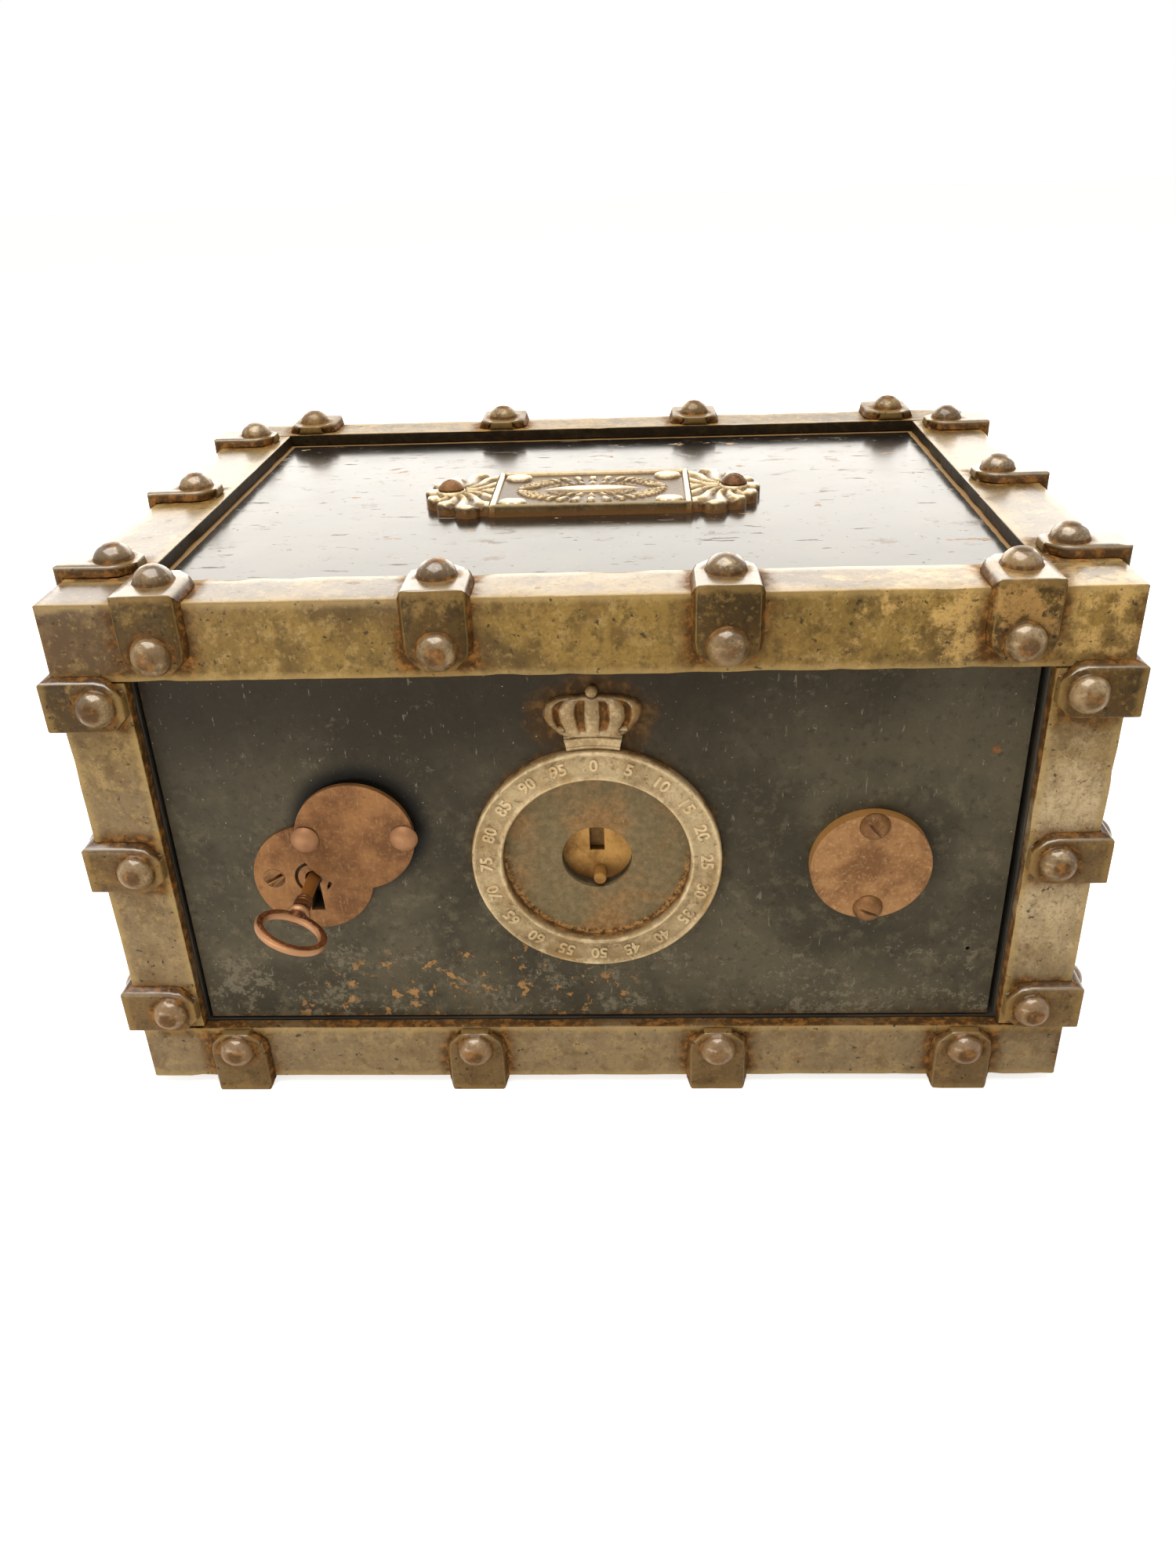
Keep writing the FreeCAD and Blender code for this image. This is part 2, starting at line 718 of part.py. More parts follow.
def name_plate():
    """The cast plate on the top panel: a block between two fans of lobes, and its screws."""
    span_z = ("shell_top", "name_top")
    half = "name_length / 2"
    block_y = ("name_shift - name_depth / 2", "name_shift + name_depth / 2")
    pieces = [box(("-" + half, half), block_y, span_z)]
    for side in (-1, 1):
        centre = "%d * fan_centre" % side
        pieces.append(rod_z("fan_radius", centre, "name_shift", *span_z))
        for angle in FAN_ANGLES:
            x = "%s + %d * fan_radius * cos(%d)" % (centre, side, angle)
            y = "name_shift + fan_radius * sin(%d)" % angle
            pieces.append(rod_z("fan_lobe_radius", x, y, *span_z))
    holes = [rod_z("round_screw_shank + rivet_clearance", side + "name_screw_x", "name_shift", *span_z)
             for side in ("-", "")]
    node(cut(fuse(*pieces), *holes), "name_plate")
    screw = round_screw("name_thickness + panel_thickness")
    across = [side * number("name_screw_x") for side in (-1, 1)]
    seats = [Vector(x, number("name_shift"), number("name_top")) for x in across]
    node(copies(screw, [Placement(seat, UPRIGHT) for seat in seats]), "name_plate_screws")


# Fasteners

def screw_slot(radius, top):
    """The block that cuts a driver's slot across a screw head."""
    return box(("-" + radius, radius), ("-screw_slot_width / 2", "screw_slot_width / 2"),
               ("%s - screw_slot_depth" % top, "%s + screw_slot_depth" % top))


def round_screw(length):
    """A round-head slotted screw, upright, with its seat at the origin."""
    head = cap("round_screw_radius", "round_screw_height", ("0", "0", "0"))
    shank = rod("round_screw_shank", ("0", "0", "-(%s)" % length), length)
    return cut(fuse(head, shank), screw_slot("round_screw_radius", "round_screw_height"))


def flat_screw():
    """A countersunk slotted screw, upright, with its face at the origin."""
    drop = "flat_screw_radius - flat_screw_shank"
    body = turned([
        ("0", "0"),
        ("flat_screw_radius", "0"),
        ("flat_screw_shank", "-(%s)" % drop),
        ("flat_screw_shank", "-flat_screw_length"),
        ("0", "-flat_screw_length"),
    ], ("0", "0", "0"))
    return cut(body, screw_slot("flat_screw_radius", "0"))


def flat_seat(x):
    """The countersunk hole that takes a flat screw in the plate behind it."""
    wide = "flat_screw_radius + rivet_clearance"
    thin = "flat_screw_shank + rivet_clearance"
    return turned([
        ("0", "0"),
        (wide, "0"),
        (thin, "flat_screw_shank - flat_screw_radius"),
        (thin, "-flat_screw_length - rivet_clearance"),
        ("0", "-flat_screw_length - rivet_clearance"),
    ], (x, "escutcheon_front", "key_z"), FRONTWARD)


# The door

def keyhole(low, high):
    """The keyhole through a plate: a round eye and a foot that widens downwards."""
    eye = rod_y("keyhole_radius", "key_x", "key_z", low, high)
    foot = doc.addObject("PartDesign::Body", "foot")
    pad(foot, "XZ_Plane", [
        ("-keyhole_neck / 2", "0"),
        ("-keyhole_foot / 2", "-keyhole_drop"),
        ("keyhole_foot / 2", "-keyhole_drop"),
        ("keyhole_neck / 2", "0"),
    ], "(%s) - (%s)" % (high, low))
    put(foot, "key_x", high, "key_z")
    return fuse(eye, foot)


def pan_screw_points():
    """The four corners where the pan is screwed to the door plate."""
    return [(x, z) for x in ("pan_left + pan_screw_inset", "pan_right - pan_screw_inset")
            for z in ("pan_bottom + pan_screw_inset", "pan_top - pan_screw_inset")]


def pan_screw_holes(low, high):
    """Clearance holes for the pan screws."""
    return [rod_y("pan_screw_radius + rivet_clearance", x, z, low, high) for x, z in pan_screw_points()]


def blank_screw_points():
    """The two screws of the blank plate, one above the other."""
    return ["blank_z + blank_screw_offset", "blank_z - blank_screw_offset"]


def door_plate():
    """The front plate with all its holes, the plug, and the pins that it turns on."""
    pin_hole = "pin_radius + press_clearance"
    screw_hole = "round_screw_shank + press_clearance"
    plug_run = ("door_front", "door_front + plug_depth")
    hub_run = ("socket_floor", "door_back + socket_depth")
    pivot_run = ("door_front", "door_front + cover_pivot_hold")
    screw_run = ("door_front", "door_front + round_screw_hold")
    drilled = cut(
        box(("door_left", "door_right"), ("door_front", "door_back"), ("door_bottom", "door_top")),
        keyhole("door_front - plate_thickness", "door_back + plate_thickness"),
        rod_y("socket_radius", "hub_x", "hub_z", "door_front - socket_depth", "socket_floor"),
        rod_y("hub_flange_radius + works_clearance", "hub_x", "hub_z", *hub_run),
        rod_z(pin_hole, "pivot_x", "pivot_y", "door_top - pin_hold", "door_top"),
        rod_z(pin_hole, "pivot_x", "pivot_y", "door_bottom", "door_bottom + pin_hold"),
        rod_y("plug_radius + press_clearance", "plug_x", "hub_z + plug_rise", *plug_run),
        rod_y("plug_radius / 2", "plug_x", "hub_z - plug_rise", *plug_run),
        rod_y("knob_shank + press_clearance", "key_x", "cover_z", *pivot_run),
        *[flat_seat("key_x + %d * escutcheon_screw_offset" % side) for side in (-1, 1)],
        *[rod_y(screw_hole, "blank_x", z, *screw_run) for z in blank_screw_points()],
        *pan_screw_holes("door_back - pan_screw_hold", "door_back"),
    )
    node(drilled, "door_plate")
    node(rod_y("plug_radius", "plug_x", "hub_z + plug_rise", *plug_run), "door_plug")
    node(bundle(
        rod_z("pin_radius", "pivot_x", "pivot_y", "door_top - pin_hold", "open_top + pin_reach"),
        rod_z("pin_radius", "pivot_x", "pivot_y", "open_bottom - pin_reach", "door_bottom + pin_hold"),
    ), "pivot_pins")


def door_pan():
    """The tray behind the plate, its fire lining, the plate that carries the works, and the screws."""
    inner_x = ("pan_left + pan_wall", "pan_right - pan_wall")
    inner_z = ("pan_bottom + pan_wall", "pan_top - pan_wall")
    bolt_y = ("bolt_front - works_clearance", "bolt_back + works_clearance")
    tray = cut(
        box(("pan_left", "pan_right"), ("door_back", "pan_back"), ("pan_bottom", "pan_top")),
        box(inner_x, ("door_back", "pan_floor"), inner_z),
        box(("hub_x + bolt_near - works_clearance", "hub_x + bolt_far + works_clearance"), bolt_y,
            ("pan_top - pan_wall", "pan_top")),
        box(("hub_x - bolt_far - works_clearance", "hub_x - bolt_near + works_clearance"), bolt_y,
            ("pan_bottom", "pan_bottom + pan_wall")),
        box(("pan_left", "pan_left + pan_wall"),
            ("lock_bolt_front - works_clearance", "lock_bolt_back + works_clearance"),
            ("lock_bolt_low - works_clearance", "lock_bolt_high + works_clearance")),
        *pan_screw_holes("pan_floor", "pan_back"),
    )
    node(tray, "door_pan")
    plate_y = ("works_back", "lock_plate_back")
    node(cut(
        box(inner_x, plate_y, inner_z),
        rod_y("hub_journal_radius + running_clearance", "hub_x", "hub_z", *plate_y),
        rod_y("barrel_journal_radius + running_clearance", "key_x", "key_z", *plate_y),
        *pan_screw_holes(*plate_y),
    ), "lock_plate")
    node(cut(
        box(inner_x, ("lock_plate_back", "pan_floor"), inner_z),
        *pan_screw_holes("lock_plate_back", "pan_floor"),
    ), "door_lining")
    length = "pan_depth + pan_screw_hold"
    screw = cut(
        fuse(cap("pan_head_radius", "pan_head_height", ("0", "0", "0")),
             rod("pan_screw_radius", ("0", "0", "-(%s)" % length), length)),
        screw_slot("pan_head_radius", "pan_head_height"),
    )
    seats = [Vector(number(x), number("pan_back"), number(z)) for x, z in pan_screw_points()]
    node(copies(screw, [Placement(seat, BACKWARD) for seat in seats]), "pan_screws")


def dial_ring():
    """The cast ring round the socket, with the crown that stands on it."""
    node(turned([
        ("ring_inner_radius", "0"),
        ("ring_outer_radius", "0"),
        ("ring_outer_radius", "ring_thickness - ring_edge"),
        ("ring_outer_radius - ring_edge", "ring_thickness"),
        ("ring_inner_radius + ring_edge", "ring_thickness"),
        ("ring_inner_radius", "ring_thickness - ring_edge"),
    ], ("hub_x", "door_front", "hub_z"), FRONTWARD), "dial_ring")
    crown()


def crown():
    """The crown on the ring: an arched band, five leaning lobes and a ball."""
    deep = ("door_front - crown_thickness", "door_front")
    arch = rod_y("crown_width", "hub_x", "crown_lift - crown_width", *deep)
    band_x = ("hub_x - crown_width / 3", "hub_x + crown_width / 3")
    trim = box(band_x, deep, ("crown_z - ring_edge", "crown_lift"))
    band = doc.addObject("Part::MultiCommon", "band")
    band.Shapes = [arch, trim]
    pieces = [band]
    for step in (-2, -1, 0, 1, 2):
        lobe = doc.addObject("Part::Ellipsoid", "lobe")
        tall = LOBE_HALF_HEIGHT - LOBE_SHORTENING * abs(step)
        centre = LOBE_CENTRE - LOBE_DROP * step * step
        bind(lobe, Radius1="dome_rise * %g" % tall, Radius2="crown_width * %g" % LOBE_HALF_WIDTH,
             Radius3="crown_thickness")
        lobe.Angle1 = -90
        lobe.Angle2 = 90
        lean = Rotation(Vector(0, 1, 0), LOBE_LEAN * step)
        put(lobe, "hub_x + crown_width * %g" % (LOBE_PITCH * step), "door_front",
            "crown_lift + dome_rise * %g" % centre, lean)
        pieces.append(lobe)
    ball = doc.addObject("Part::Sphere", "ball")
    bind(ball, Radius="crown_ball_radius")
    put(ball, "hub_x", "door_front - crown_ball_radius / 2", "crown_z + crown_rise - crown_ball_radius")
    pieces.append(ball)
    wide = ("hub_x - crown_width", "hub_x + crown_width")
    beyond = ("door_front", "door_front + 2 * crown_thickness")
    behind = box(wide, beyond, ("hub_z", "crown_z + 2 * crown_rise"))
    ring_hole = "ring_outer_radius + press_clearance"
    clear = rod_y(ring_hole, "hub_x", "hub_z", "door_front - 2 * crown_thickness", "door_front")
    node(cut(fuse(*pieces), behind, clear), "crown")


def keyhole_plate():
    """The escutcheon with its keyhole and ward slot, its screws, and the pivot of the cover."""
    through = ("escutcheon_front", "door_front")
    bridge_x = ("key_x - ward_bridge / 2", "key_x + ward_bridge / 2")
    ring = cut(
        rod_y("ward_radius", "key_x", "key_z", *through),
        rod_y("ward_radius - ward_width", "key_x", "key_z", *through),
        box(bridge_x, through, ("key_z - 2 * ward_radius", "key_z")),
    )
    node(cut(
        rod_y("escutcheon_radius", "key_x", "key_z", *through),
        keyhole("escutcheon_front - escutcheon_thickness", "door_front + escutcheon_thickness"),
        ring,
        rod_y("knob_shank + press_clearance", "key_x", "cover_z", *through),
        *[flat_seat("key_x + %d * escutcheon_screw_offset" % side) for side in (-1, 1)],
    ), "keyhole_escutcheon")
    across = [number("key_x + %d * escutcheon_screw_offset" % side) for side in (-1, 1)]
    seats = [Vector(x, number("escutcheon_front"), number("key_z")) for x in across]
    node(copies(flat_screw(), [Placement(seat, FRONTWARD) for seat in seats]), "escutcheon_screws")
    seat = "cover_front - cover_gap"
    node(fuse(
        cap("knob_radius", "knob_height", ("key_x", seat, "cover_z"), FRONTWARD),
        rod_y("knob_shank", "key_x", "cover_z", seat, "door_front + cover_pivot_hold"),
    ), "cover_pivot")


def keyhole_cover():
    """The round cover, propped open to the right, and its lift knob."""
    span = ("cover_front", "cover_back")
    node(cut(
        rod_y("cover_radius", "key_x + cover_arm", "cover_z", *span),
        rod_y("knob_shank + running_clearance", "key_x", "cover_z", *span),
        rod_y("knob_shank + press_clearance", "knob_x", "cover_z", *span),
    ), "keyhole_cover")
    node(fuse(
        cap("knob_radius", "knob_height", ("knob_x", "cover_front", "cover_z"), FRONTWARD),
        rod_y("knob_shank", "knob_x", "cover_z", *span),
    ), "cover_knob")


def blank_plate():
    """The round plate at the right, and its two screws."""
    through = ("blank_front", "door_front")
    hole = "round_screw_shank + rivet_clearance"
    node(cut(
        rod_y("blank_radius", "blank_x", "blank_z", *through),
        *[rod_y(hole, "blank_x", z, *through) for z in blank_screw_points()],
    ), "blank_plate")
    screw = round_screw("blank_thickness + round_screw_hold")
    seats = [Vector(number("blank_x"), number("blank_front"), number(z)) for z in blank_screw_points()]
    node(copies(screw, [Placement(seat, FRONTWARD) for seat in seats]), "blank_plate_screws")


# Gears and racks

def flank_angle(radius, at, thick):
    """Half the angle of an involute tooth at a given radius."""
    base = radius * math.cos(PRESSURE_ANGLE)
    lean = math.acos(min(1, base / at))
    return thick / radius + math.tan(PRESSURE_ANGLE) - PRESSURE_ANGLE - math.tan(lean) + lean


def pinion(radius, teeth, phase, low, high, x, z):
    """A spur pinion about Y between two depths, with one tooth centred on the phase angle."""
    module = 2 * radius / teeth
    thick = math.pi * module / 4 - number("tooth_backlash") / 4
    base = radius * math.cos(PRESSURE_ANGLE)
    root = radius - RACK_ADDENDUM * module - number("tooth_clearance")
    tip = radius + PINION_ADDENDUM * module
    samples = [base + (tip - base) * step / FLANK_STEPS for step in range(FLANK_STEPS + 1)]
    near = flank_angle(radius, base, thick)

    def at(distance, angle):
        return Vector(x + distance * math.cos(angle), low, z + distance * math.sin(angle))

    parts = []
    for tooth in range(teeth):
        centre = math.radians(phase) + tooth * 2 * math.pi / teeth
        rising = [at(r, centre - flank_angle(radius, r, thick)) for r in samples]
        falling = [at(r, centre + flank_angle(radius, r, thick)) for r in reversed(samples)]
        following = centre + 2 * math.pi / teeth
        for flank in (rising, falling):
            curve = Part.BSplineCurve()
            curve.interpolate(flank)
            parts.append(curve.toShape())
        parts.append(Part.LineSegment(at(root, centre - near), rising[0]).toShape())
        parts.append(Part.Arc(rising[-1], at(tip, centre), falling[0]).toShape())
        parts.append(Part.LineSegment(falling[-1], at(root, centre + near)).toShape())
        valley = at(root, centre + math.pi / teeth)
        parts.append(Part.Arc(at(root, centre + near), valley, at(root, following - near)).toShape())
    wire = Part.Wire(Part.__sortEdges__(parts))
    return fixed(Part.Face(wire).extrude(Vector(0, high - low, 0)), "pinion")


def rack(radius, teeth, phase, inward, low, high, x, z):
    """Rack teeth in mesh with a pinion at x and z: inward points from the rack to the pinion."""
    module = 2 * radius / teeth
    pitch = math.pi * module
    lean = math.tan(PRESSURE_ANGLE)
    thick = pitch / 4 - number("tooth_backlash") / 4
    foot = PINION_ADDENDUM * module + 2 * number("tooth_clearance")
    head = RACK_ADDENDUM * module
    along = Vector(-inward.z, 0, inward.x)
    middle = Vector(x, low, z) - inward * radius
    facing = math.degrees(math.atan2(-inward.z, -inward.x))
    valley = HALF_STEP + round((facing - phase) * teeth / 360, 6) % 1
    solids = []
    for step in RACK_STEPS:
        centre = middle + along * ((step + valley) * pitch)
        corners = [
            centre - inward * foot - along * (thick + foot * lean),
            centre + inward * head - along * (thick - head * lean),
            centre + inward * head + along * (thick - head * lean),
            centre - inward * foot + along * (thick + foot * lean),
        ]
        face = Part.Face(Part.makePolygon(corners + corners[:1]))
        solids.append(face.extrude(Vector(0, high - low, 0)))
    return fixed(Part.makeCompound(solids), "rack")


# The works inside the door

def hub():
    """The hub that a knob turns: slotted flange, shaft, pinion and rear journal, and its drive pin."""
    radius = number("bolt_pitch_radius")
    teeth = int(number("bolt_teeth"))
    face = "socket_floor + running_clearance"
    gear_front = "bolt_front - works_clearance"
    gear_back = "bolt_back + works_clearance"
    centre = (number("hub_x"), number("hub_z"))
    wheel = pinion(radius, teeth, HUB_PHASE, number(gear_front), number(gear_back), *centre)
    slot = box(("hub_x - hub_slot_width / 2", "hub_x + hub_slot_width / 2"),
               (face, "%s + hub_slot_depth" % face), ("hub_z", "hub_z + 2 * hub_flange_radius"))
    pin_x = "hub_x + drive_pin_side"
    pin_z = "hub_z - drive_pin_drop"
    pin_end = "%s + drive_pin_hold" % face
    node(cut(
        fuse(
            rod_y("hub_flange_radius", "hub_x", "hub_z", face, "door_back"),
            rod_y("hub_shaft_radius", "hub_x", "hub_z", "door_back", gear_front),
            wheel,
            rod_y("hub_journal_radius", "hub_x", "hub_z", gear_back, "lock_plate_back"),
        ),
        slot,
        rod_y("drive_pin_radius + press_clearance", pin_x, pin_z, face, pin_end),
    ), "drive_hub")
    node(rod_y("drive_pin_radius", pin_x, pin_z, "%s - drive_pin_reach" % face, pin_end), "drive_pin")


def bolts():
    """The upper and lower bolts, each with a rack on one side of the hub's pinion."""
    radius = number("bolt_pitch_radius")
    teeth = int(number("bolt_teeth"))
    low = number("bolt_front")
    high = number("bolt_back")
    centre = (number("hub_x"), number("hub_z"))
    deep = ("bolt_front", "bolt_back")
    tail = "%d * bolt_pitch" % RACK_STEPS.stop
    upper_teeth = rack(radius, teeth, HUB_PHASE, Vector(-1, 0, 0), low, high, *centre)
    upper_bar = box(("hub_x + bolt_near", "hub_x + bolt_far"), deep, ("hub_z - " + tail, "pan_top"))
    node(fuse(upper_bar, upper_teeth), "upper_bolt")
    lower_teeth = rack(radius, teeth, HUB_PHASE, Vector(1, 0, 0), low, high, *centre)
    lower_bar = box(("hub_x - bolt_far", "hub_x - bolt_near"), deep, ("pan_bottom", "hub_z + " + tail))
    node(fuse(lower_bar, lower_teeth), "lower_bolt")


def lock_bolt():
    """The bolt that the key throws to the left, with its rack above the barrel's pinion."""
    radius = number("key_pitch_radius")
    teeth = int(number("key_teeth"))
    deep = ("lock_bolt_front", "lock_bolt_back")
    run = ("pan_left", "key_x + %d * key_pitch" % RACK_STEPS.stop)
    bar = box(run, deep, ("lock_bolt_low", "lock_bolt_high"))
    centre = (number("key_x"), number("key_z"))
    racked = rack(radius, teeth, KEY_PHASE, Vector(0, 0, -1), *(number(text) for text in deep), *centre)
    node(fuse(bar, racked), "lock_bolt")


def guide(x, y, z, hole_x, hole_y, hole_z):
    """A staple on the lock plate that a bolt slides through."""
    return cut(box(x, y, z), box(hole_x, hole_y, hole_z))


def bolt_guides():
    """The three staples."""
    wall = "guide_wall + works_clearance"
    staples = []
    deep = ("bolt_front - %s" % wall, "works_back")
    hole_y = ("bolt_front - works_clearance", "bolt_back + works_clearance")
    top_z = ("pan_top - guide_inset - guide_length", "pan_top - guide_inset")
    foot_z = ("pan_bottom + guide_inset", "pan_bottom + guide_inset + guide_length")
    for near, far, tall in (("hub_x + bolt_near", "hub_x + bolt_far", top_z),
                            ("hub_x - bolt_far", "hub_x - bolt_near", foot_z)):
        staples.append(guide(
            ("%s - %s" % (near, wall), "%s + %s" % (far, wall)), deep, tall,
            ("%s - works_clearance" % near, "%s + works_clearance" % far), hole_y, tall,
        ))
    run = ("pan_left + guide_inset", "pan_left + guide_inset + guide_length")
    staple_y = ("lock_bolt_front - %s" % wall, "works_back")
    staple_z = ("lock_bolt_low - %s" % wall, "lock_bolt_high + %s" % wall)
    slot_y = ("lock_bolt_front - works_clearance", "lock_bolt_back + works_clearance")
    slot_z = ("lock_bolt_low - works_clearance", "lock_bolt_high + works_clearance")
    staples.append(guide(run, staple_y, staple_z, run, slot_y, slot_z))
    node(bundle(*staples), "bolt_guides")


def radial_block(reach, thick, low, high):
    """A block that reaches out from the key's axis at the key's angle at rest."""
    block = doc.addObject("Part::Box", "radial")
    bind(block, Length=reach, Width="(%s) - (%s)" % (high, low), Height=thick)
    angle = number("key_rest_angle")
    turn = Rotation(Vector(0, -1, 0), angle)
    shift_x = "key_x + (%s) / 2 * sin(key_rest_angle)" % thick
    shift_z = "key_z - (%s) / 2 * cos(key_rest_angle)" % thick
    return put(block, shift_x, low, shift_z, turn)


def key_bow(y):
    """The key's oval ring: two half rounds and the straight runs between them, tilted with the bit."""
    tilt = Rotation(Vector(0, -1, 0), number("key_rest_angle"))
    run = "(bow_half_width - bow_half_length)"
    pieces = []
    for side in (-1, 1):
        half = doc.addObject("Part::Torus", "half_ring")
        bind(half, Radius1="bow_half_length", Radius2="bow_wire_radius")
        half.Angle3 = 180
        x = "key_x + %d * %s * cos(key_rest_angle)" % (side, run)
        z = "key_z + %d * %s * sin(key_rest_angle)" % (side, run)
        put(half, x, y, z, tilt.multiply(Rotation(Vector(0, 0, 1), -90 * side)))
        start = (
            "key_x - %s * cos(key_rest_angle)" % run,
            "%s + %d * bow_half_length" % (y, side),
            "key_z - %s * sin(key_rest_angle)" % run,
        )
        straight = rod("bow_wire_radius", start, "2 * " + run, tilt.multiply(TO_RIGHT_EDGE))
        pieces += [half, straight]
    return pieces


def key_and_barrel():
    """The key, left turned in the lock, and the barrel that its bit drives."""
    radius = number("key_pitch_radius")
    teeth = int(number("key_teeth"))
    gear_front = "barrel_back"
    gear_back = "lock_bolt_back + works_clearance"
    centre = (number("key_x"), number("key_z"))
    wheel = pinion(radius, teeth, KEY_PHASE, number(gear_front), number(gear_back), *centre)
    drum_y = ("barrel_front", "barrel_back")
    drum = cut(
        rod_y("barrel_radius", "key_x", "key_z", *drum_y),
        rod_y("shank_radius + key_clearance", "key_x", "key_z", *drum_y),
        radial_block("bit_length + key_clearance", "bit_thickness + 2 * key_clearance", *drum_y),
    )
    node(fuse(
        drum,
        wheel,
        rod_y("barrel_journal_radius", "key_x", "key_z", gear_back, "lock_plate_back"),
    ), "lock_barrel")
    tip = "barrel_back - key_clearance"
    collar_y = "front - shank_reach + bow_wire_radius"
    node(fuse(
        rod_y("shank_radius", "key_x", "key_z", "front - shank_reach", tip),
        rod_y("collar_radius", "key_x", "key_z", collar_y, "%s + collar_length" % collar_y),
        radial_block("bit_length", "bit_thickness", "barrel_front + key_clearance", tip),
        *key_bow("front - shank_reach - bow_half_length"),
    ), "key")


# Assembly

def check_and_write():
    """Checks every object, then writes one file for each sub-part."""
    doc.recompute()
    failed = [thing.Name for thing in doc.Objects if set(thing.State) & {"Invalid", "Error"}]
    if failed:
        raise RuntimeError("failed objects: " + ", ".join(failed))
    os.makedirs("parts", exist_ok=True)
    for thing in nodes:
        shape = thing.Shape
        if shape.isNull() or not shape.isValid() or not shape.Solids:
            raise RuntimeError("bad shape: " + thing.Label)
    for thing in nodes:
        thing.Shape.exportStep("parts/%s.step" % thing.Label)
    print(len(nodes), "sub-parts written")


fill_sheet()
bars(cleats_and_rivets())
panels()
lining()
jamb()
name_plate()
door_plate()
door_pan()
dial_ring()
keyhole_plate()
keyhole_cover()
blank_plate()
hub()
bolts()
lock_bolt()
bolt_guides()
key_and_barrel()
check_and_write()
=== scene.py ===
"""The looks of an antique fireproof safe: worn iron bars, straps and rivets round lacquered panels.

Shapes are worked out in millimetres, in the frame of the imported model, and made in metres.
"""

import json
import math
from collections import namedtuple

import bmesh
import bpy
from mathutils import Matrix, Vector, noise

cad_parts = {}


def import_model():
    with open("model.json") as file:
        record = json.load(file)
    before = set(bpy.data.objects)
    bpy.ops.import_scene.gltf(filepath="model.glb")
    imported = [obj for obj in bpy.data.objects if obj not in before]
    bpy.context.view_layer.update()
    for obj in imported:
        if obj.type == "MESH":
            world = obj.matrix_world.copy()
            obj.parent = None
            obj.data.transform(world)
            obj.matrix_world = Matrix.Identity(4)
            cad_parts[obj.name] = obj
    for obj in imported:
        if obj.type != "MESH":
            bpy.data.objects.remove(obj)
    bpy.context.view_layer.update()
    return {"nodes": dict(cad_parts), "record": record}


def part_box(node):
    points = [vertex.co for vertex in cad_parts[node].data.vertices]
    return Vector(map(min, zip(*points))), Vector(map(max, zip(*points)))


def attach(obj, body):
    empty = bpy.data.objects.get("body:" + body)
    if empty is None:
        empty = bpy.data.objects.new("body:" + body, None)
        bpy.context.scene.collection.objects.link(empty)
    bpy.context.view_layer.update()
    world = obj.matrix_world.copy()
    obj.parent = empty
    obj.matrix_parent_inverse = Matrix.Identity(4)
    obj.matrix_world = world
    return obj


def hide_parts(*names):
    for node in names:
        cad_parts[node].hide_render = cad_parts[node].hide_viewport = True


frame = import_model()

MM = 0.001
WELD = 1e-6
MIDDLE_DIGITS = 4
X, Y, Z = range(3)
RIGHT = Vector((1, 0, 0))
OUT = Vector((0, -1, 0))
UP = Vector((0, 0, 1))
FULL_TURN = 2 * math.pi

# Sizes of the bars, and shares of their rust, their wear and the painted light on their tops
BAR_THICKNESS = 6
BAR_EDGE = 0.9
BAR_STEP = 5
BAR_TOP_WEAR_AND_LIGHT = 0.4
ARC_STEPS = 4
EDGE_FADE = 1.6
EDGE_RUST = 0.8
END_EASE = 1.0
END_EASE_STEP = 0.3
END_RUST = 0.7
END_RUST_FADE = 3.0
END_WEAR = 0.6
# From this to that much of an outward way, a face of the section counts as an inner one
INWARD = (0.3, 0.9)

# Sizes of the straps, and shares of their rust, their wear and the painted light on their tops
STRAP_THICKNESS = 4
STRAP_BEND = 1.3
STRAP_EDGE = 1.3
STRAP_CLIP = 6
STRAP_STEP = 4
STRAP_SINK = 0.4
STRAP_TIP_ROUND = 0.6
STRAP_UNEVEN = 0.6
STRAP_TOP_WEAR_AND_LIGHT = 0.75
STRAP_RUST_FADE = 4.5
STRAP_RUST_REACH = 4 * STRAP_RUST_FADE
NO_STRAP_NEAR = 1000
# Rows across a strap: share of its half width, and how far its top has fallen there
STRAP_ROWS = ((1.04, 3.6), (1.0, 2.9), (0.955, 1.5), (0.91, 0.55), (0.86, 0.12), (0.6, 0), (0.2, 0))
# The falls between which a strap's shoulder starts and ends, and its flank turns rusty
SHOULDER_START = (0.05, 0.3)
SHOULDER_END = (0.6, 1.6)
FLANK_FALL = (0.6, 2.4)
FLANK_RUST = 1.3

# Sizes of the rivets, and shares of their rust, their wear and the painted dark reflection on their caps
RIVET_RADIUS = 7.4
RIVET_HEIGHT = 6
RIVET_FLARE = 0.45
# Rows of a flare: share of its width, and rise
RIVET_FLARE_ROWS = ((1, -0.3), (0.4, 0.25))
RIVET_SIDES = 24
RIVET_RINGS = 9
# A dome's lowest ring and the run to its highest, as shares of a quarter turn
RIVET_LOWEST = 0.06
RIVET_RUN = 0.9
RIVET_DENT_SIZE = 8
RIVET_DENT_WIDE = 0.07
RIVET_DENT_TALL = 0.09
RIVET_RUST_FADE = 2.2
RIVET_RING_RUST = 0.9
RIVET_FOOT_RUST = 1.2
RIVET_FOOT = (0.2, 1.8)
RIVET_CAP_RUST_AND_DARK_REFLECTION = 0.75
RIVET_CAP = (4.4, 5.7)
RIVET_WEAR = 0.3
RIVET_ON_STRAP = 1
RIVET_FLANK = (2, 4)

# Unevenness of old iron
HOLLOW_SIZE = 38
HOLLOW_DEPTH = 0.45
PIT_SIZE = 9
PIT_DEPTH = 0.22
PIT_SEED = 3
KNOCK_SIZE = 13
KNOCK_DEPTH = 1.3
KNOCK_LEAST = 0.15
KNOCK_SEED = 7

Spot = namedtuple("Spot", "place rust worn grime", defaults=(0,))
Patch = namedtuple("Patch", "centre reach ragged tone share")


# Small helpers

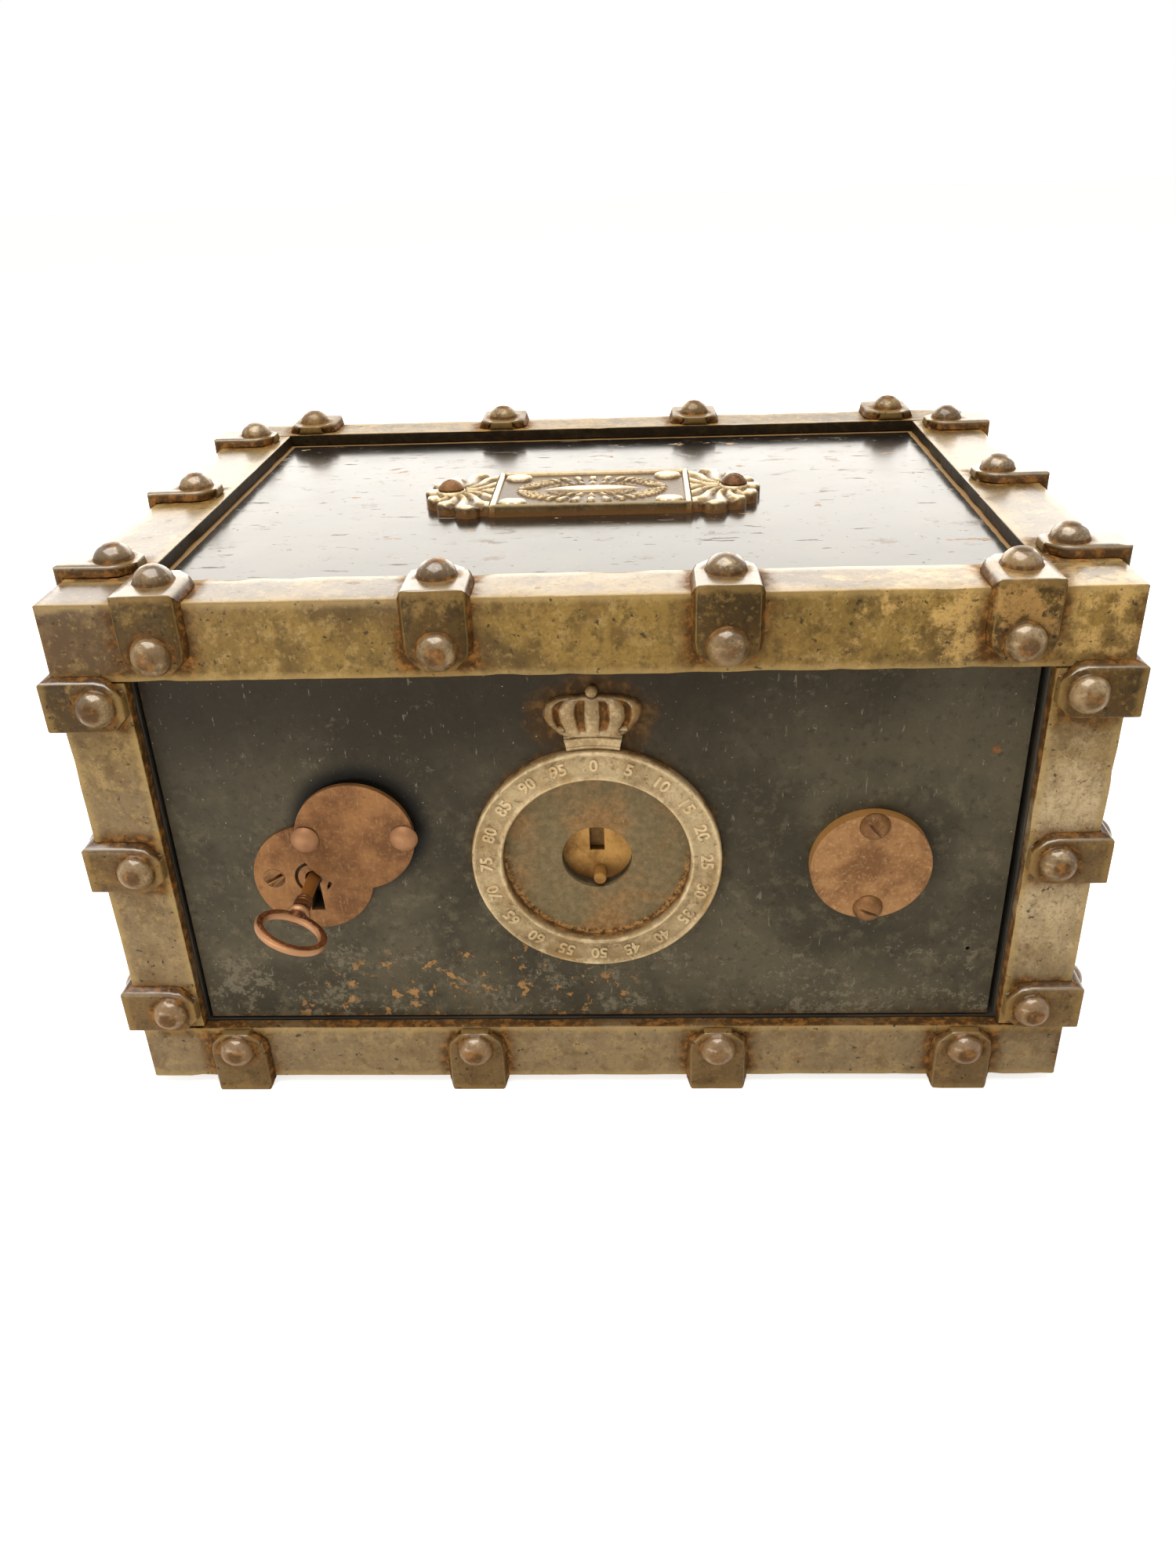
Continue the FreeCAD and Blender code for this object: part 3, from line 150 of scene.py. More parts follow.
def box_of(node):
    """A node's lowest and highest corners, in millimetres."""
    low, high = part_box(node)
    return low / MM, high / MM


def middle_of(node):
    low, high = box_of(node)
    return (low + high) / 2


def turns(count):
    """The angles of a number of even steps round a circle."""
    return [FULL_TURN * i / count for i in range(count)]


def shares(count):
    """Even steps from 0 to 1."""
    return [i / count for i in range(count + 1)]


def both_ways(count):
    """Even steps from -1 to 1."""
    return [2 * share - 1 for share in shares(count)]


def grid(rows, columns, spot):
    """Rows of points, each made from its row and its column."""
    return [[spot(row, column) for column in columns] for row in rows]


def ripple(place, size, seed=0):
    """Smooth noise from -1 to 1, with features about this many millimetres across."""
    return noise.noise(place / size + Vector((seed, seed / 3, -seed)))


def dent(place, size, seed=0):
    """The same noise from 0 to 1."""
    return 0.5 + 0.5 * ripple(place, size, seed)


def smooth(value, low, high):
    """A soft step from 0 at low to 1 at high."""
    share = min(1, max(0, (value - low) / (high - low)))
    return share * share * (3 - 2 * share)


def gap_to_box(place, low, high):
    """How far a point is from a box: 0 inside it."""
    nearest = [min(max(place[i], low[i]), high[i]) for i in range(3)]
    return (place - Vector(nearest)).length


def span(points):
    """The lowest and highest corners of some points."""
    low, high = (Vector([pick(point[i] for point in points) for i in range(3)]) for pick in (min, max))
    return low, high


def loose_parts(work):
    """The separate solids of a mesh, each as a list of its vertices, in the order of their middles."""
    def middle(part):
        return [round(sum(vertex.co[i] for vertex in part) / len(part), MIDDLE_DIGITS) for i in range(3)]

    bmesh.ops.remove_doubles(work, verts=work.verts, dist=WELD)
    left = set(work.verts)
    parts = []
    while left:
        part = [left.pop()]
        for vertex in part:
            near = {edge.other_vert(vertex) for edge in vertex.link_edges} & left
            left -= near
            part += near
        parts.append(part)
    return sorted(parts, key=middle)


def islands(node):
    """The separate solids of a node, each as a list of its points in millimetres."""
    work = bmesh.new()
    work.from_mesh(frame["nodes"][node].data)
    found = [[vertex.co / MM for vertex in part] for part in loose_parts(work)]
    work.free()
    return found


CASE_LOW, CASE_HIGH = span([corner for name in ("front_top_bar", "front_bottom_bar", "back_top_bar")
                            for corner in box_of(name)])
CASE_MIDDLE = (CASE_LOW + CASE_HIGH) / 2
HUB = middle_of("dial_ring")


class Shell:
    """The points and faces of a piece in the making."""

    def __init__(self):
        self.spots = []
        self.faces = []

    def add(self, ring):
        start = len(self.spots)
        self.spots += ring
        return list(range(start, len(self.spots)))

    def wall(self, low, high):
        """Faces between two closed rows of points."""
        for i in range(len(low)):
            j = (i + 1) % len(low)
            self.faces.append((low[i], low[j], high[j], high[i]))

    def loft(self, rings, looped=False, corner=None):
        """Joins closed rings of points, one to the next. An angle's ends are cut in two at its corner."""
        rows = [self.add(ring) for ring in rings]
        for low, high in zip(rows, rows[1:]):
            self.wall(low, high)
        if looped:
            self.wall(rows[-1], rows[0])
            return
        for row in (rows[0][::-1], rows[-1]):
            self.faces += [tuple(row)] if corner is None else self.halves(row, corner)

    def halves(self, row, corner):
        """The two legs of an angle's end, parted between its outer and its inner corner."""
        first, second = sorted(row.index(min(row) + place) for place in corner)
        return [tuple(row[first:second + 1]), tuple(row[second:] + row[:first + 1])]

    def slab(self, grid, floor, axis=Z):
        """A block under a grid of points: its top, its walls down to a level, and its underside."""
        def dropped(place):
            low = place.copy()
            low[axis] = floor
            return low

        rows = [self.add(row) for row in grid]
        for low, high in zip(rows, rows[1:]):
            for i in range(len(low) - 1):
                self.faces.append((low[i], low[i + 1], high[i + 1], high[i]))
        rim = rows[0] + [row[-1] for row in rows[1:-1]] + rows[-1][::-1] + [row[0] for row in rows[-2:0:-1]]
        foot = self.add([Spot(dropped(self.spots[i].place), 1, 0) for i in rim])
        self.wall(foot, rim)
        self.faces.append(tuple(foot))

    def piece(self, name, body, slot, stands_for, crease=38):
        """Makes the mesh, with its finish, and lets it ride on a body in place of the nodes it stands for."""
        mesh = bpy.data.meshes.new(name)
        mesh.from_pydata([spot.place * MM for spot in self.spots], [], self.faces)
        for field in ("rust", "worn", "grime"):
            values = [getattr(spot, field) for spot in self.spots]
            mesh.attributes.new(field, "FLOAT", "POINT").data.foreach_set("value", values)
        work = bmesh.new()
        work.from_mesh(mesh)
        bmesh.ops.remove_doubles(work, verts=work.verts, dist=WELD)
        bmesh.ops.recalc_face_normals(work, faces=work.faces)
        shaded(mesh, work, crease)
        dress(bpy.data.objects.new(name, mesh), body, slot, stands_for)


def shaded(mesh, work, crease):
    """Ends the work on a mesh: smooth faces with sharp edges over an angle."""
    work.to_mesh(mesh)
    work.free()
    mesh.shade_smooth()
    mesh.set_sharp_from_angle(angle=math.radians(crease))


def dress(thing, body, slot, stands_for):
    """Links a new object, with its finish, to the frame."""
    bpy.context.scene.collection.objects.link(thing)
    thing.data.materials.clear()
    thing.data.materials.append(FINISHES[slot])
    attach(thing, body)
    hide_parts(*stands_for)


# Materials

def tone(red, green, blue):
    """A colour as it looks on a screen, 0 to 255, as a linear one."""
    def linear(value):
        share = value / 255
        return share / 12.92 if share <= 0.04045 else ((share + 0.055) / 1.055) ** 2.4
    return linear(red), linear(green), linear(blue), 1


RUST = tone(152, 101, 47)
RUST_DARK = tone(80, 52, 23)
RUST_PALE = tone(188, 140, 82)
GRIME_AND_SHADE_TONE = tone(38, 31, 22)
COPPER_GRIME = tone(52, 34, 14)

SEED_STEP = 17.3
# The colour sockets of a mix node
MIX_FIRST = 6
MIX_SECOND = 7
MIX_RESULT = 2
# How far up a face points where it starts and ends to count as a top
TOP_FACING = (0.15, 0.85)
# How much a patch's reach counts along each axis, and the shares of it where the patch is whole and gone
PATCH_WEIGHTS = (0.45, 0.6, 1)
PATCH_WHOLE = 0.1
PATCH_GONE = 0.45
# The depths between which the wax on tops goes dull, and what is left of it
DULL_BACK = (70, 130)
DULL_WAX = 0.25


class Nodes:
    """A tree of shader nodes: each call adds a node and gives back its output."""

    def __init__(self, tree):
        self.tree = tree

    def feed(self, socket, value):
        """Links an output to a socket, or sets the socket to a plain value."""
        if isinstance(value, bpy.types.NodeSocket):
            self.tree.links.new(value, socket)
        else:
            socket.default_value = value

    def node(self, kind, **inputs):
        made = self.tree.nodes.new(kind)
        for name, value in inputs.items():
            self.feed(made.inputs[name.replace("_", " ")], value)
        return made

    def operate(self, kind, operation, values):
        made = self.node(kind)
        made.operation = operation
        for socket, value in zip(made.inputs, values):
            self.feed(socket, value)
        return made

    def chain(self, operation, values):
        """Joins values by one operation, from the first to the last."""
        total = values[0]
        for value in values[1:]:
            total = self.operate("ShaderNodeMath", operation, (total, value)).outputs[0]
        return total

    def plus(self, *values):
        return self.chain("ADD", values)

    def minus(self, *values):
        return self.chain("SUBTRACT", values)

    def times(self, *values):
        return self.chain("MULTIPLY", values)

    def most(self, *values):
        return self.chain("MAXIMUM", values)

    def level(self, value, low, high):
        """Spreads a value from 0 to 1 over a range."""
        return self.node("ShaderNodeMapRange", Value=value, To_Min=low, To_Max=high).outputs[0]

    def step(self, value, low, high):
        """A soft step from 0 at low to 1 at high."""
        made = self.node("ShaderNodeMapRange", Value=value, From_Min=low, From_Max=high)
        made.interpolation_type = "SMOOTHSTEP"
        return made.outputs[0]

    def fall(self, value, low, high):
        """A soft step from 1 at low to 0 at high."""
        return self.minus(1.0, self.step(value, low, high))

    def ragged(self, share, pattern, spread, ends):
        """A soft step whose edge a pattern breaks up."""
        return self.step(self.plus(share, self.level(pattern, *spread)), *ends)

    def blend(self, share, first, second):
        made = self.node("ShaderNodeMix")
        made.data_type = "RGBA"
        self.feed(made.inputs["Factor"], share)
        self.feed(made.inputs[MIX_FIRST], first)
        self.feed(made.inputs[MIX_SECOND], second)
        return made.outputs[MIX_RESULT]


class Finish(Nodes):
    """A material in the making, with the colour laid so far. Sizes are in millimetres."""

    def __init__(self, name, colour=None):
        self.material = bpy.data.materials.new(name)
        self.material.use_nodes = True
        super().__init__(self.material.node_tree)
        self.surface = self.tree.nodes["Principled BSDF"]
        coordinates = self.node("ShaderNodeTexCoord")
        self.normal = coordinates.outputs["Normal"]
        self.place = self.vector("SCALE", coordinates.outputs["Object"], scale=1 / MM)
        self.colour = colour
        self.seed = 0

    def vector(self, operation, *values, scale=None):
        made = self.operate("ShaderNodeVectorMath", operation, values)
        if scale:
            made.inputs["Scale"].default_value = scale
        return made.outputs["Value" if operation == "LENGTH" else "Vector"]

    def noise(self, size, detail=5, rough=0.6, stretch=(1, 1, 1), warp=0):
        """Cloudy noise about 0.5, with features about this size."""
        self.seed += SEED_STEP
        place = self.vector("DIVIDE", self.place, tuple(size * share for share in stretch))
        place = self.vector("ADD", place, (self.seed, -self.seed, self.seed / 2))
        return self.node("ShaderNodeTexNoise", Vector=place, Scale=1, Detail=detail, Roughness=rough,
                         Distortion=warp).outputs[0]

    def lay(self, share, shade):
        """Lays a share of a tone over the colour so far."""
        self.colour = self.blend(share, self.colour, shade)

    def mark(self, pattern, low, high, share, shade):
        """Lays a tone where a pattern is high."""
        self.lay(self.times(self.step(pattern, low, high), share), shade)

    def painted(self, name):
        """A value that the piece's points carry."""
        made = self.node("ShaderNodeAttribute")
        made.attribute_name = name
        return made.outputs["Fac"]

    def part(self, axis, of=None):
        """One coordinate of the place, or of another vector."""
        return self.node("ShaderNodeSeparateXYZ", Vector=of or self.place).outputs[axis]

    def size(self, value):
        """A value without its sign."""
        return self.operate("ShaderNodeMath", "ABSOLUTE", (value,)).outputs[0]

    def far(self, centre, weights=(1, 0, 1)):
        """The distance from a point, seen from the front unless other weights are given."""
        offset = self.vector("SUBTRACT", self.place, tuple(centre))
        return self.vector("LENGTH", self.vector("MULTIPLY", offset, weights))

    def bump(self, height, depth):
        """Raises the surface by up to a depth."""
        made = self.node("ShaderNodeBump", Height=height, Distance=depth * MM, Strength=1.0)
        self.feed(self.surface.inputs["Normal"], made.outputs[0])

    def done(self, rough, **inputs):
        """Feeds the surface with the colour, the roughness and what else is given."""
        self.feed(self.surface.inputs["Base Color"], self.colour)
        self.feed(self.surface.inputs["Roughness"], rough)
        for name, value in inputs.items():
            self.feed(self.surface.inputs[name.replace("_", " ")], value)
        return self.material


def old_iron(name, tones, gloss, metal, rust_share=1.0, streaked=0.3, patches=(), low=None, coat=(1.38, 0.22),
             pitted=0.8, relief=0.5, wall_gloss=0.25):
    """Patinated iron: mottled tones, rust where points carry it, pale worn edges and dark pits."""
    f = Finish(name)
    dark, middle, pale, film = tones
    clouds = f.noise(42, warp=0.6)
    mottle = f.noise(9, detail=8, rough=0.72)
    fleck = f.noise(2.8, detail=6, rough=0.72)
    grain = f.noise(0.9, detail=3)
    streaks = f.noise(3, detail=6, rough=0.66, stretch=(1, 1, 4))
    f.colour = f.blend(f.step(clouds, 0.36, 0.62), dark, middle)
    # Toward the foot the colour turns to a lower tone. On the bars and straps it is paler: painted light
    # standing in for light bounced up from the floor, over a greyer iron. On the rivets it is a rustier
    # brown.
    if low:
        low_tone_and_bounce_light, start, end = low
        lower = f.fall(f.part(Z), start, end)
        f.lay(f.times(lower, f.level(mottle, 0.3, 1.0)), low_tone_and_bounce_light)
    f.mark(f.noise(17, detail=7, rough=0.66), 0.5, 0.64, 0.7, film)
    f.mark(mottle, 0.51, 0.64, 0.6, pale)
    f.mark(f.noise(6, detail=7, rough=0.7), 0.52, 0.64, 0.7, dark)
    for patch in patches:
        spread = patch.ragged * patch.reach
        edge = f.level(f.noise(11, detail=8, rough=0.74), -spread, spread)
        edge = f.plus(f.far(patch.centre, PATCH_WEIGHTS), edge)
        shown = f.fall(edge, patch.reach * PATCH_WHOLE, patch.reach * PATCH_GONE)
        f.lay(f.times(shown, patch.share), patch.tone)
    f.mark(streaks, 0.52, 0.66, streaked, dark)
    f.mark(fleck, 0.53, 0.66, 0.55, film)
    f.mark(f.noise(2.2, detail=5), 0.55, 0.68, 0.4, pale)
    f.mark(f.noise(1.3, detail=4, rough=0.75), 0.5, 0.68, 0.5, dark)
    if low:
        f.lay(f.times(lower, f.level(streaks, 0.0, 0.6)), low_tone_and_bounce_light)
    stain = f.noise(6, detail=7, rough=0.74)
    painted = f.times(f.painted("rust"), f.level(f.step(f.noise(34), 0.36, 0.6), 0.6, 1.2))
    f.lay(f.times(painted, f.level(mottle, 0.2, 0.9)), RUST_DARK)
    rust = f.times(f.ragged(painted, stain, (-0.66, 0.26), (0.1, 0.66)), rust_share)
    rust = f.most(rust, f.times(f.step(f.noise(5, detail=5), 0.63, 0.71), 0.45))
    rust_tone = f.blend(f.step(f.noise(4, detail=6), 0.44, 0.64), RUST_DARK, RUST)
    rust_tone = f.blend(f.times(f.step(fleck, 0.58, 0.7), 0.6), rust_tone, RUST_PALE)
    f.lay(f.times(rust, 0.85), rust_tone)
    worn = f.ragged(f.painted("worn"), f.noise(6, detail=7, rough=0.7), (-0.8, 0.35), (0.15, 0.75))
    f.lay(f.times(worn, 0.55), pale)
    # The carried dark value: a darker sunk field on the dial ring, and painted shade on the inner faces of
    # the top bars
    f.lay(f.times(f.painted("grime"), f.level(f.noise(4, detail=6), 0.7, 1.15)), GRIME_AND_SHADE_TONE)
    pits = f.step(f.noise(2.6, detail=3), 0.64, 0.71)
    f.lay(f.times(pits, pitted), GRIME_AND_SHADE_TONE)
    f.mark(f.noise(1.1, detail=2), 0.75, 0.79, 0.5, pale)
    height = f.minus(f.plus(f.times(mottle, 0.8), f.times(fleck, 0.4)), f.times(pits, 0.4))
    f.bump(f.plus(height, f.times(rust, grain, 0.6)), relief)
    rough = f.plus(f.level(mottle, gloss - 0.12, gloss + 0.16), f.times(rust, 0.28))
    bare = f.minus(1.0, f.most(f.times(rust, 0.85), f.painted("grime")))
    tops = f.level(f.step(f.part(Z, f.normal), *TOP_FACING), wall_gloss, 1.0)
    waxed = f.times(bare, tops, f.level(f.step(f.part(Y), *DULL_BACK), 1.0, DULL_WAX))
    coat_ior, coat_rough = coat
    return f.done(rough, Metallic=f.level(rust, metal, 0.0), IOR=1.15, Coat_Weight=waxed,
                  Coat_Roughness=coat_rough, Coat_IOR=coat_ior)


def bar_iron():
    tones = tone(82, 61, 22), tone(140, 110, 50), tone(172, 142, 86), tone(98, 71, 30)
    # Painted light: the right upright is made paler as if lit from the right. Painted shade: the left end of
    # the front top bar is made darker, on a browner patina, as if the light fell off there.
    painted_light_right = Patch(centre=(182, -137, 110), reach=130, ragged=0.4, tone=tone(214, 188, 143), share=0.88)
    gold_wear = Patch(centre=(150, -137, 212), reach=50, ragged=1.25, tone=tone(210, 169, 98), share=0.78)
    painted_shade_left_end = Patch(centre=(-196, -137, 212), reach=80, ragged=0.8, tone=tone(82, 58, 32), share=0.75)
    return old_iron("bar_iron", tones, 0.46, 0.06, patches=(painted_light_right, gold_wear, painted_shade_left_end),
                    low=(tone(142, 120, 88), 110, 205))


def cleat_iron():
    tones = tone(52, 38, 13), tone(88, 66, 27), tone(146, 115, 64), tone(72, 49, 18)
    gold_wear = Patch(centre=(150, -141, 212), reach=26, ragged=1.6, tone=tone(196, 150, 86), share=0.6)
    return old_iron("cleat_iron", tones, 0.42, 0.05, rust_share=0.9, streaked=0.15, patches=(gold_wear,),
                    low=(tone(124, 97, 60), 80, 212), coat=(1.75, 0.2), wall_gloss=0.04)


def rivet_iron():
    tones = tone(86, 66, 40), tone(146, 120, 82), tone(186, 160, 117), tone(112, 82, 46)
    return old_iron("rivet_iron", tones, 0.36, 0.2, rust_share=0.8, streaked=0.0, coat=(1.6, 0.14),
                    pitted=0.25, relief=0.12, wall_gloss=0.16, low=(tone(138, 105, 66), 30, 150))


def ring_iron():
    tones = tone(142, 117, 77), tone(198, 172, 128), tone(222, 197, 152), tone(160, 125, 75)
    return old_iron("ring_iron", tones, 0.44, 0.2, rust_share=0.95, streaked=0.2, pitted=0.35)


# Where the outer panels lie, and how far rust has crept in from their borders
FLANK_SKIN = (170, 176)
FLANK_CREEP = (90, 114)
BACK_SKIN = (119, 125)
BACK_CREEP = (140, 164)
HEAD_CREEP = 22
FOOT_CREEP = 26
# The tan line along the border of the top panel starts and ends this far from the bars
BORDER_START = 2.4
BORDER_END = 0.4


def panel_lacquer():
    """Black lacquer that mirrors the room: pits, scratches, chips, a tan border, rust on upright faces."""
    f = Finish("panel_lacquer")
    pits = f.step(f.noise(3.2, detail=6, rough=0.68, stretch=(1.5, 1, 1)), 0.64, 0.72)
    scratches = f.step(f.noise(4, detail=5, stretch=(6, 1, 1)), 0.66, 0.69)
    chips = f.step(f.noise(8, detail=6, stretch=(2.2, 1, 1)), 0.68, 0.705)
    smudges = f.step(f.noise(13, detail=8, rough=0.72, stretch=(1.6, 1, 1)), 0.56, 0.72)
    dust = f.step(f.noise(1.3, detail=2), 0.72, 0.78)
    f.colour = f.blend(f.step(f.noise(70), 0.4, 0.65), tone(22, 19, 15), tone(46, 39, 31))
    f.lay(f.times(f.most(pits, scratches), 0.8), tone(92, 74, 52))
    f.lay(f.times(smudges, 0.5), tone(120, 92, 60))
    f.lay(chips, tone(166, 126, 86))
    f.lay(f.times(dust, 0.7), tone(196, 182, 156))
    across = f.size(f.part(X))
    along = f.size(f.part(Y))
    height_up = f.part(Z)
    top_low, top_high = box_of("top_panel")
    ends = ((across, -box_of("top_left_bar")[1].x), (along, -box_of("front_top_bar")[1].y))
    border = f.most(*(f.step(way, end - BORDER_START, end - BORDER_END) for way, end in ends))
    border = f.times(border, f.step(height_up, top_low.z, top_high.z))
    border = f.ragged(border, f.noise(7, detail=6, rough=0.7), (-0.7, 0.3), (0.1, 0.5))
    f.lay(f.times(border, 0.85), tone(150, 112, 62))
    low, high = box_of("door_plate")
    flank = f.times(f.step(across, *FLANK_SKIN), f.step(along, *FLANK_CREEP))
    rear = f.times(f.step(along, *BACK_SKIN), f.step(across, *BACK_CREEP))
    creep = f.most(f.step(height_up, high.z - HEAD_CREEP, high.z),
                   f.fall(height_up, low.z, low.z + FOOT_CREEP), flank, rear)
    stains = f.ragged(f.times(creep, 0.7), f.noise(17, detail=9, rough=0.76), (-0.95, 0.75), (0.16, 0.5))
    stains = f.times(f.fall(height_up, top_low.z - 1, top_low.z), stains)
    streaks = f.step(f.noise(5, detail=6, rough=0.7), 0.42, 0.62)
    f.lay(f.times(stains, 0.8), f.blend(streaks, tone(58, 42, 24), tone(112, 80, 42)))
    damage = f.most(f.times(pits, 0.7), scratches, chips, border, f.times(smudges, 0.5), f.times(stains, 0.8))
    rough = f.plus(f.level(f.noise(24, detail=6), 0.1, 0.24), f.times(damage, 0.45))
    f.bump(f.minus(f.times(f.noise(45, detail=2), 0.8), f.times(damage, 0.6)), 0.12)
    return f.done(rough, IOR=1.62, Specular_Tint=(1, 0.95, 0.86, 1))


# The door's front skin, its chipped patch, and the distances over which its marks fade
FACE_SKIN = (1.5, 2.5)
FOOT_SCRAPES = (8, 66)
CHIPS_PLACE = (-52, 0, 4)
CHIPS_WEIGHTS = (0.45, 0, 1)
CHIPS_REACH = (10, 42)
RING_HALO = (46, 54)
CROWN_HALO = (11, 24)
CROWN_HALO_WEIGHTS = (0.7, 0, 1)
FOOT_RUST = 5
SIDE_RUST = 3
# Where the painted shadow round the keyhole cover lies: its shift up and to the right, and the radii where it
# rises and fades
COVER_SHADOW_SHIFT = Vector((1.5, 0, 2.5))
COVER_SHADOW_INNER = (15, 21)
COVER_SHADOW_OUTER = (22.5, 30)
DISC_EDGE = (35.5, 36.2)
DISC_RIM = (31.5, 35.2)
DISC_BELOW = (22, 20)
# How far below the hub the painted shade over the door's upper part starts
DOOR_SHADE_BELOW_HUB = 10


def door_paint():
    """Charcoal paint: specks, scrapes, chips near the foot, rust round castings, bare metal in the ring;
    painted shade at the upper left and a painted shadow round the cover.
    """
    f = Finish("door_paint")
    low, high = box_of("door_plate")
    radius = f.far(HUB)
    height_up = f.part(Z)
    across = f.part(X)
    face = f.fall(f.part(Y), *(low.y + depth for depth in FACE_SKIN))
    clouds = f.noise(55, detail=6)
    mottle = f.noise(8, detail=8, rough=0.74)
    f.colour = f.blend(f.step(clouds, 0.36, 0.66), tone(54, 48, 34), tone(86, 77, 58))
    f.mark(mottle, 0.5, 0.66, 0.45, tone(110, 99, 76))
    f.mark(f.noise(3.4, detail=6, rough=0.7), 0.53, 0.68, 0.5, tone(40, 33, 22))
    # Painted shade: the door darkens from just below the hub to its top, most at the left, as if less light
    # fell there
    painted_upper_shade = f.step(height_up, HUB.z - DOOR_SHADE_BELOW_HUB, high.z)
    painted_upper_shade = f.times(painted_upper_shade, f.level(f.step(across, HUB.x, high.x), 0.95, 0.45))
    f.lay(f.times(f.ragged(painted_upper_shade, mottle, (-0.4, 0.4), (0.15, 0.95)), 0.84), tone(38, 29, 16))
    foot = f.fall(height_up, *(low.z + height for height in FOOT_SCRAPES))
    grains = f.noise(2.4, detail=6, rough=0.66)
    thick = f.level(f.noise(15, detail=6, rough=0.62, stretch=(1.4, 1, 1)), -0.24, 0.24)
    scrapes = f.ragged(f.plus(thick, f.times(foot, 0.06)), grains, (0.2, 0.8), (0.59, 0.65))
    f.lay(f.times(scrapes, f.plus(f.times(foot, 0.28), 0.22)), tone(130, 118, 95))
    f.mark(f.noise(1.8, detail=4, stretch=(1, 1, 4)), 0.66, 0.71, 0.5, tone(134, 122, 102))
    cluster = f.fall(f.far(Vector(CHIPS_PLACE) + UP * low.z, CHIPS_WEIGHTS), *CHIPS_REACH)
    chips = f.step(f.noise(6.5, detail=6, rough=0.66), 0.57, 0.61)
    chips = f.times(chips, face, f.ragged(cluster, f.noise(26), (-0.25, 0.25), (0.12, 0.4)))
    f.lay(f.times(chips, 0.85), tone(164, 122, 74))
    halo = f.fall(radius, *RING_HALO)
    crown_halo = f.fall(f.far(middle_of("crown"), CROWN_HALO_WEIGHTS), *CROWN_HALO)
    edges = f.most(f.fall(height_up, low.z, low.z + FOOT_RUST),
                   f.times(0.7, f.fall(across, low.x, low.x + SIDE_RUST)))
    rust = f.most(f.times(halo, 0.7), f.times(crown_halo, 0.85), f.times(edges, 0.62))
    rust = f.ragged(rust, f.noise(9, detail=6, rough=0.7), (-0.85, 0.45), (0.05, 0.72))
    rust_tone = f.blend(f.step(f.noise(4, detail=6), 0.42, 0.66), tone(66, 46, 24), tone(112, 80, 42))
    f.lay(f.times(rust, face, 0.8), rust_tone)
    # Painted shadow: a near-black ring round the keyhole cover, shifted up and right, in place of the shadow
    # the cover casts
    cover_away = f.far(middle_of("keyhole_cover") + COVER_SHADOW_SHIFT)
    painted_cover_shadow = f.times(f.step(cover_away, *COVER_SHADOW_INNER), f.fall(cover_away, *COVER_SHADOW_OUTER))
    f.lay(f.times(painted_cover_shadow, face, 0.92), tone(10, 7, 4))
    crust = f.noise(2.2, detail=6, rough=0.74)
    patches = f.noise(19, detail=8, rough=0.72)
    bare = f.blend(f.step(crust, 0.24, 0.8), tone(100, 85, 56), tone(134, 115, 82))
    rusted = f.ragged(f.noise(24, detail=6), crust, (-0.06, 0.06), (0.42, 0.64))
    rusty = f.blend(f.step(crust, 0.24, 0.8), tone(116, 82, 44), tone(166, 126, 80))
    bare = f.blend(f.times(rusted, 0.75), bare, rusty)
    below = f.fall(height_up, HUB.z - DISC_BELOW[0], HUB.z + DISC_BELOW[1])
    rim = f.times(f.step(radius, *DISC_RIM), f.level(below, 0.25, 1.0))
    rim = f.ragged(rim, patches, (-0.75, 0.35), (0.15, 0.6))
    bare = f.blend(f.times(rim, 0.9), bare, f.blend(f.step(crust, 0.4, 0.62), RUST_DARK, RUST_PALE))
    f.lay(f.times(f.fall(radius, *DISC_EDGE), face), bare)
    f.mark(f.noise(1.25, detail=2), 0.735, 0.775, 0.7, tone(186, 176, 152))
    relief = f.minus(f.times(mottle, 0.5), f.times(chips, 0.6))
    f.bump(f.plus(relief, f.times(f.noise(1.5, detail=3), 0.3)), 0.35)
    rough = f.plus(f.level(mottle, 0.42, 0.6), f.times(f.most(f.times(rust, face), chips), 0.25))
    return f.done(rough, IOR=1.22)


# A plate's heads start to stand proud, and its wall starts, this near its front
HEAD_RISE = (0.6, 0.1)
WALL_DEPTH = (0.5, 1.4)
# Painted shade: the hub is darker below, from here to here above its middle
HUB_PAINTED_SHADE = (-14, 1)


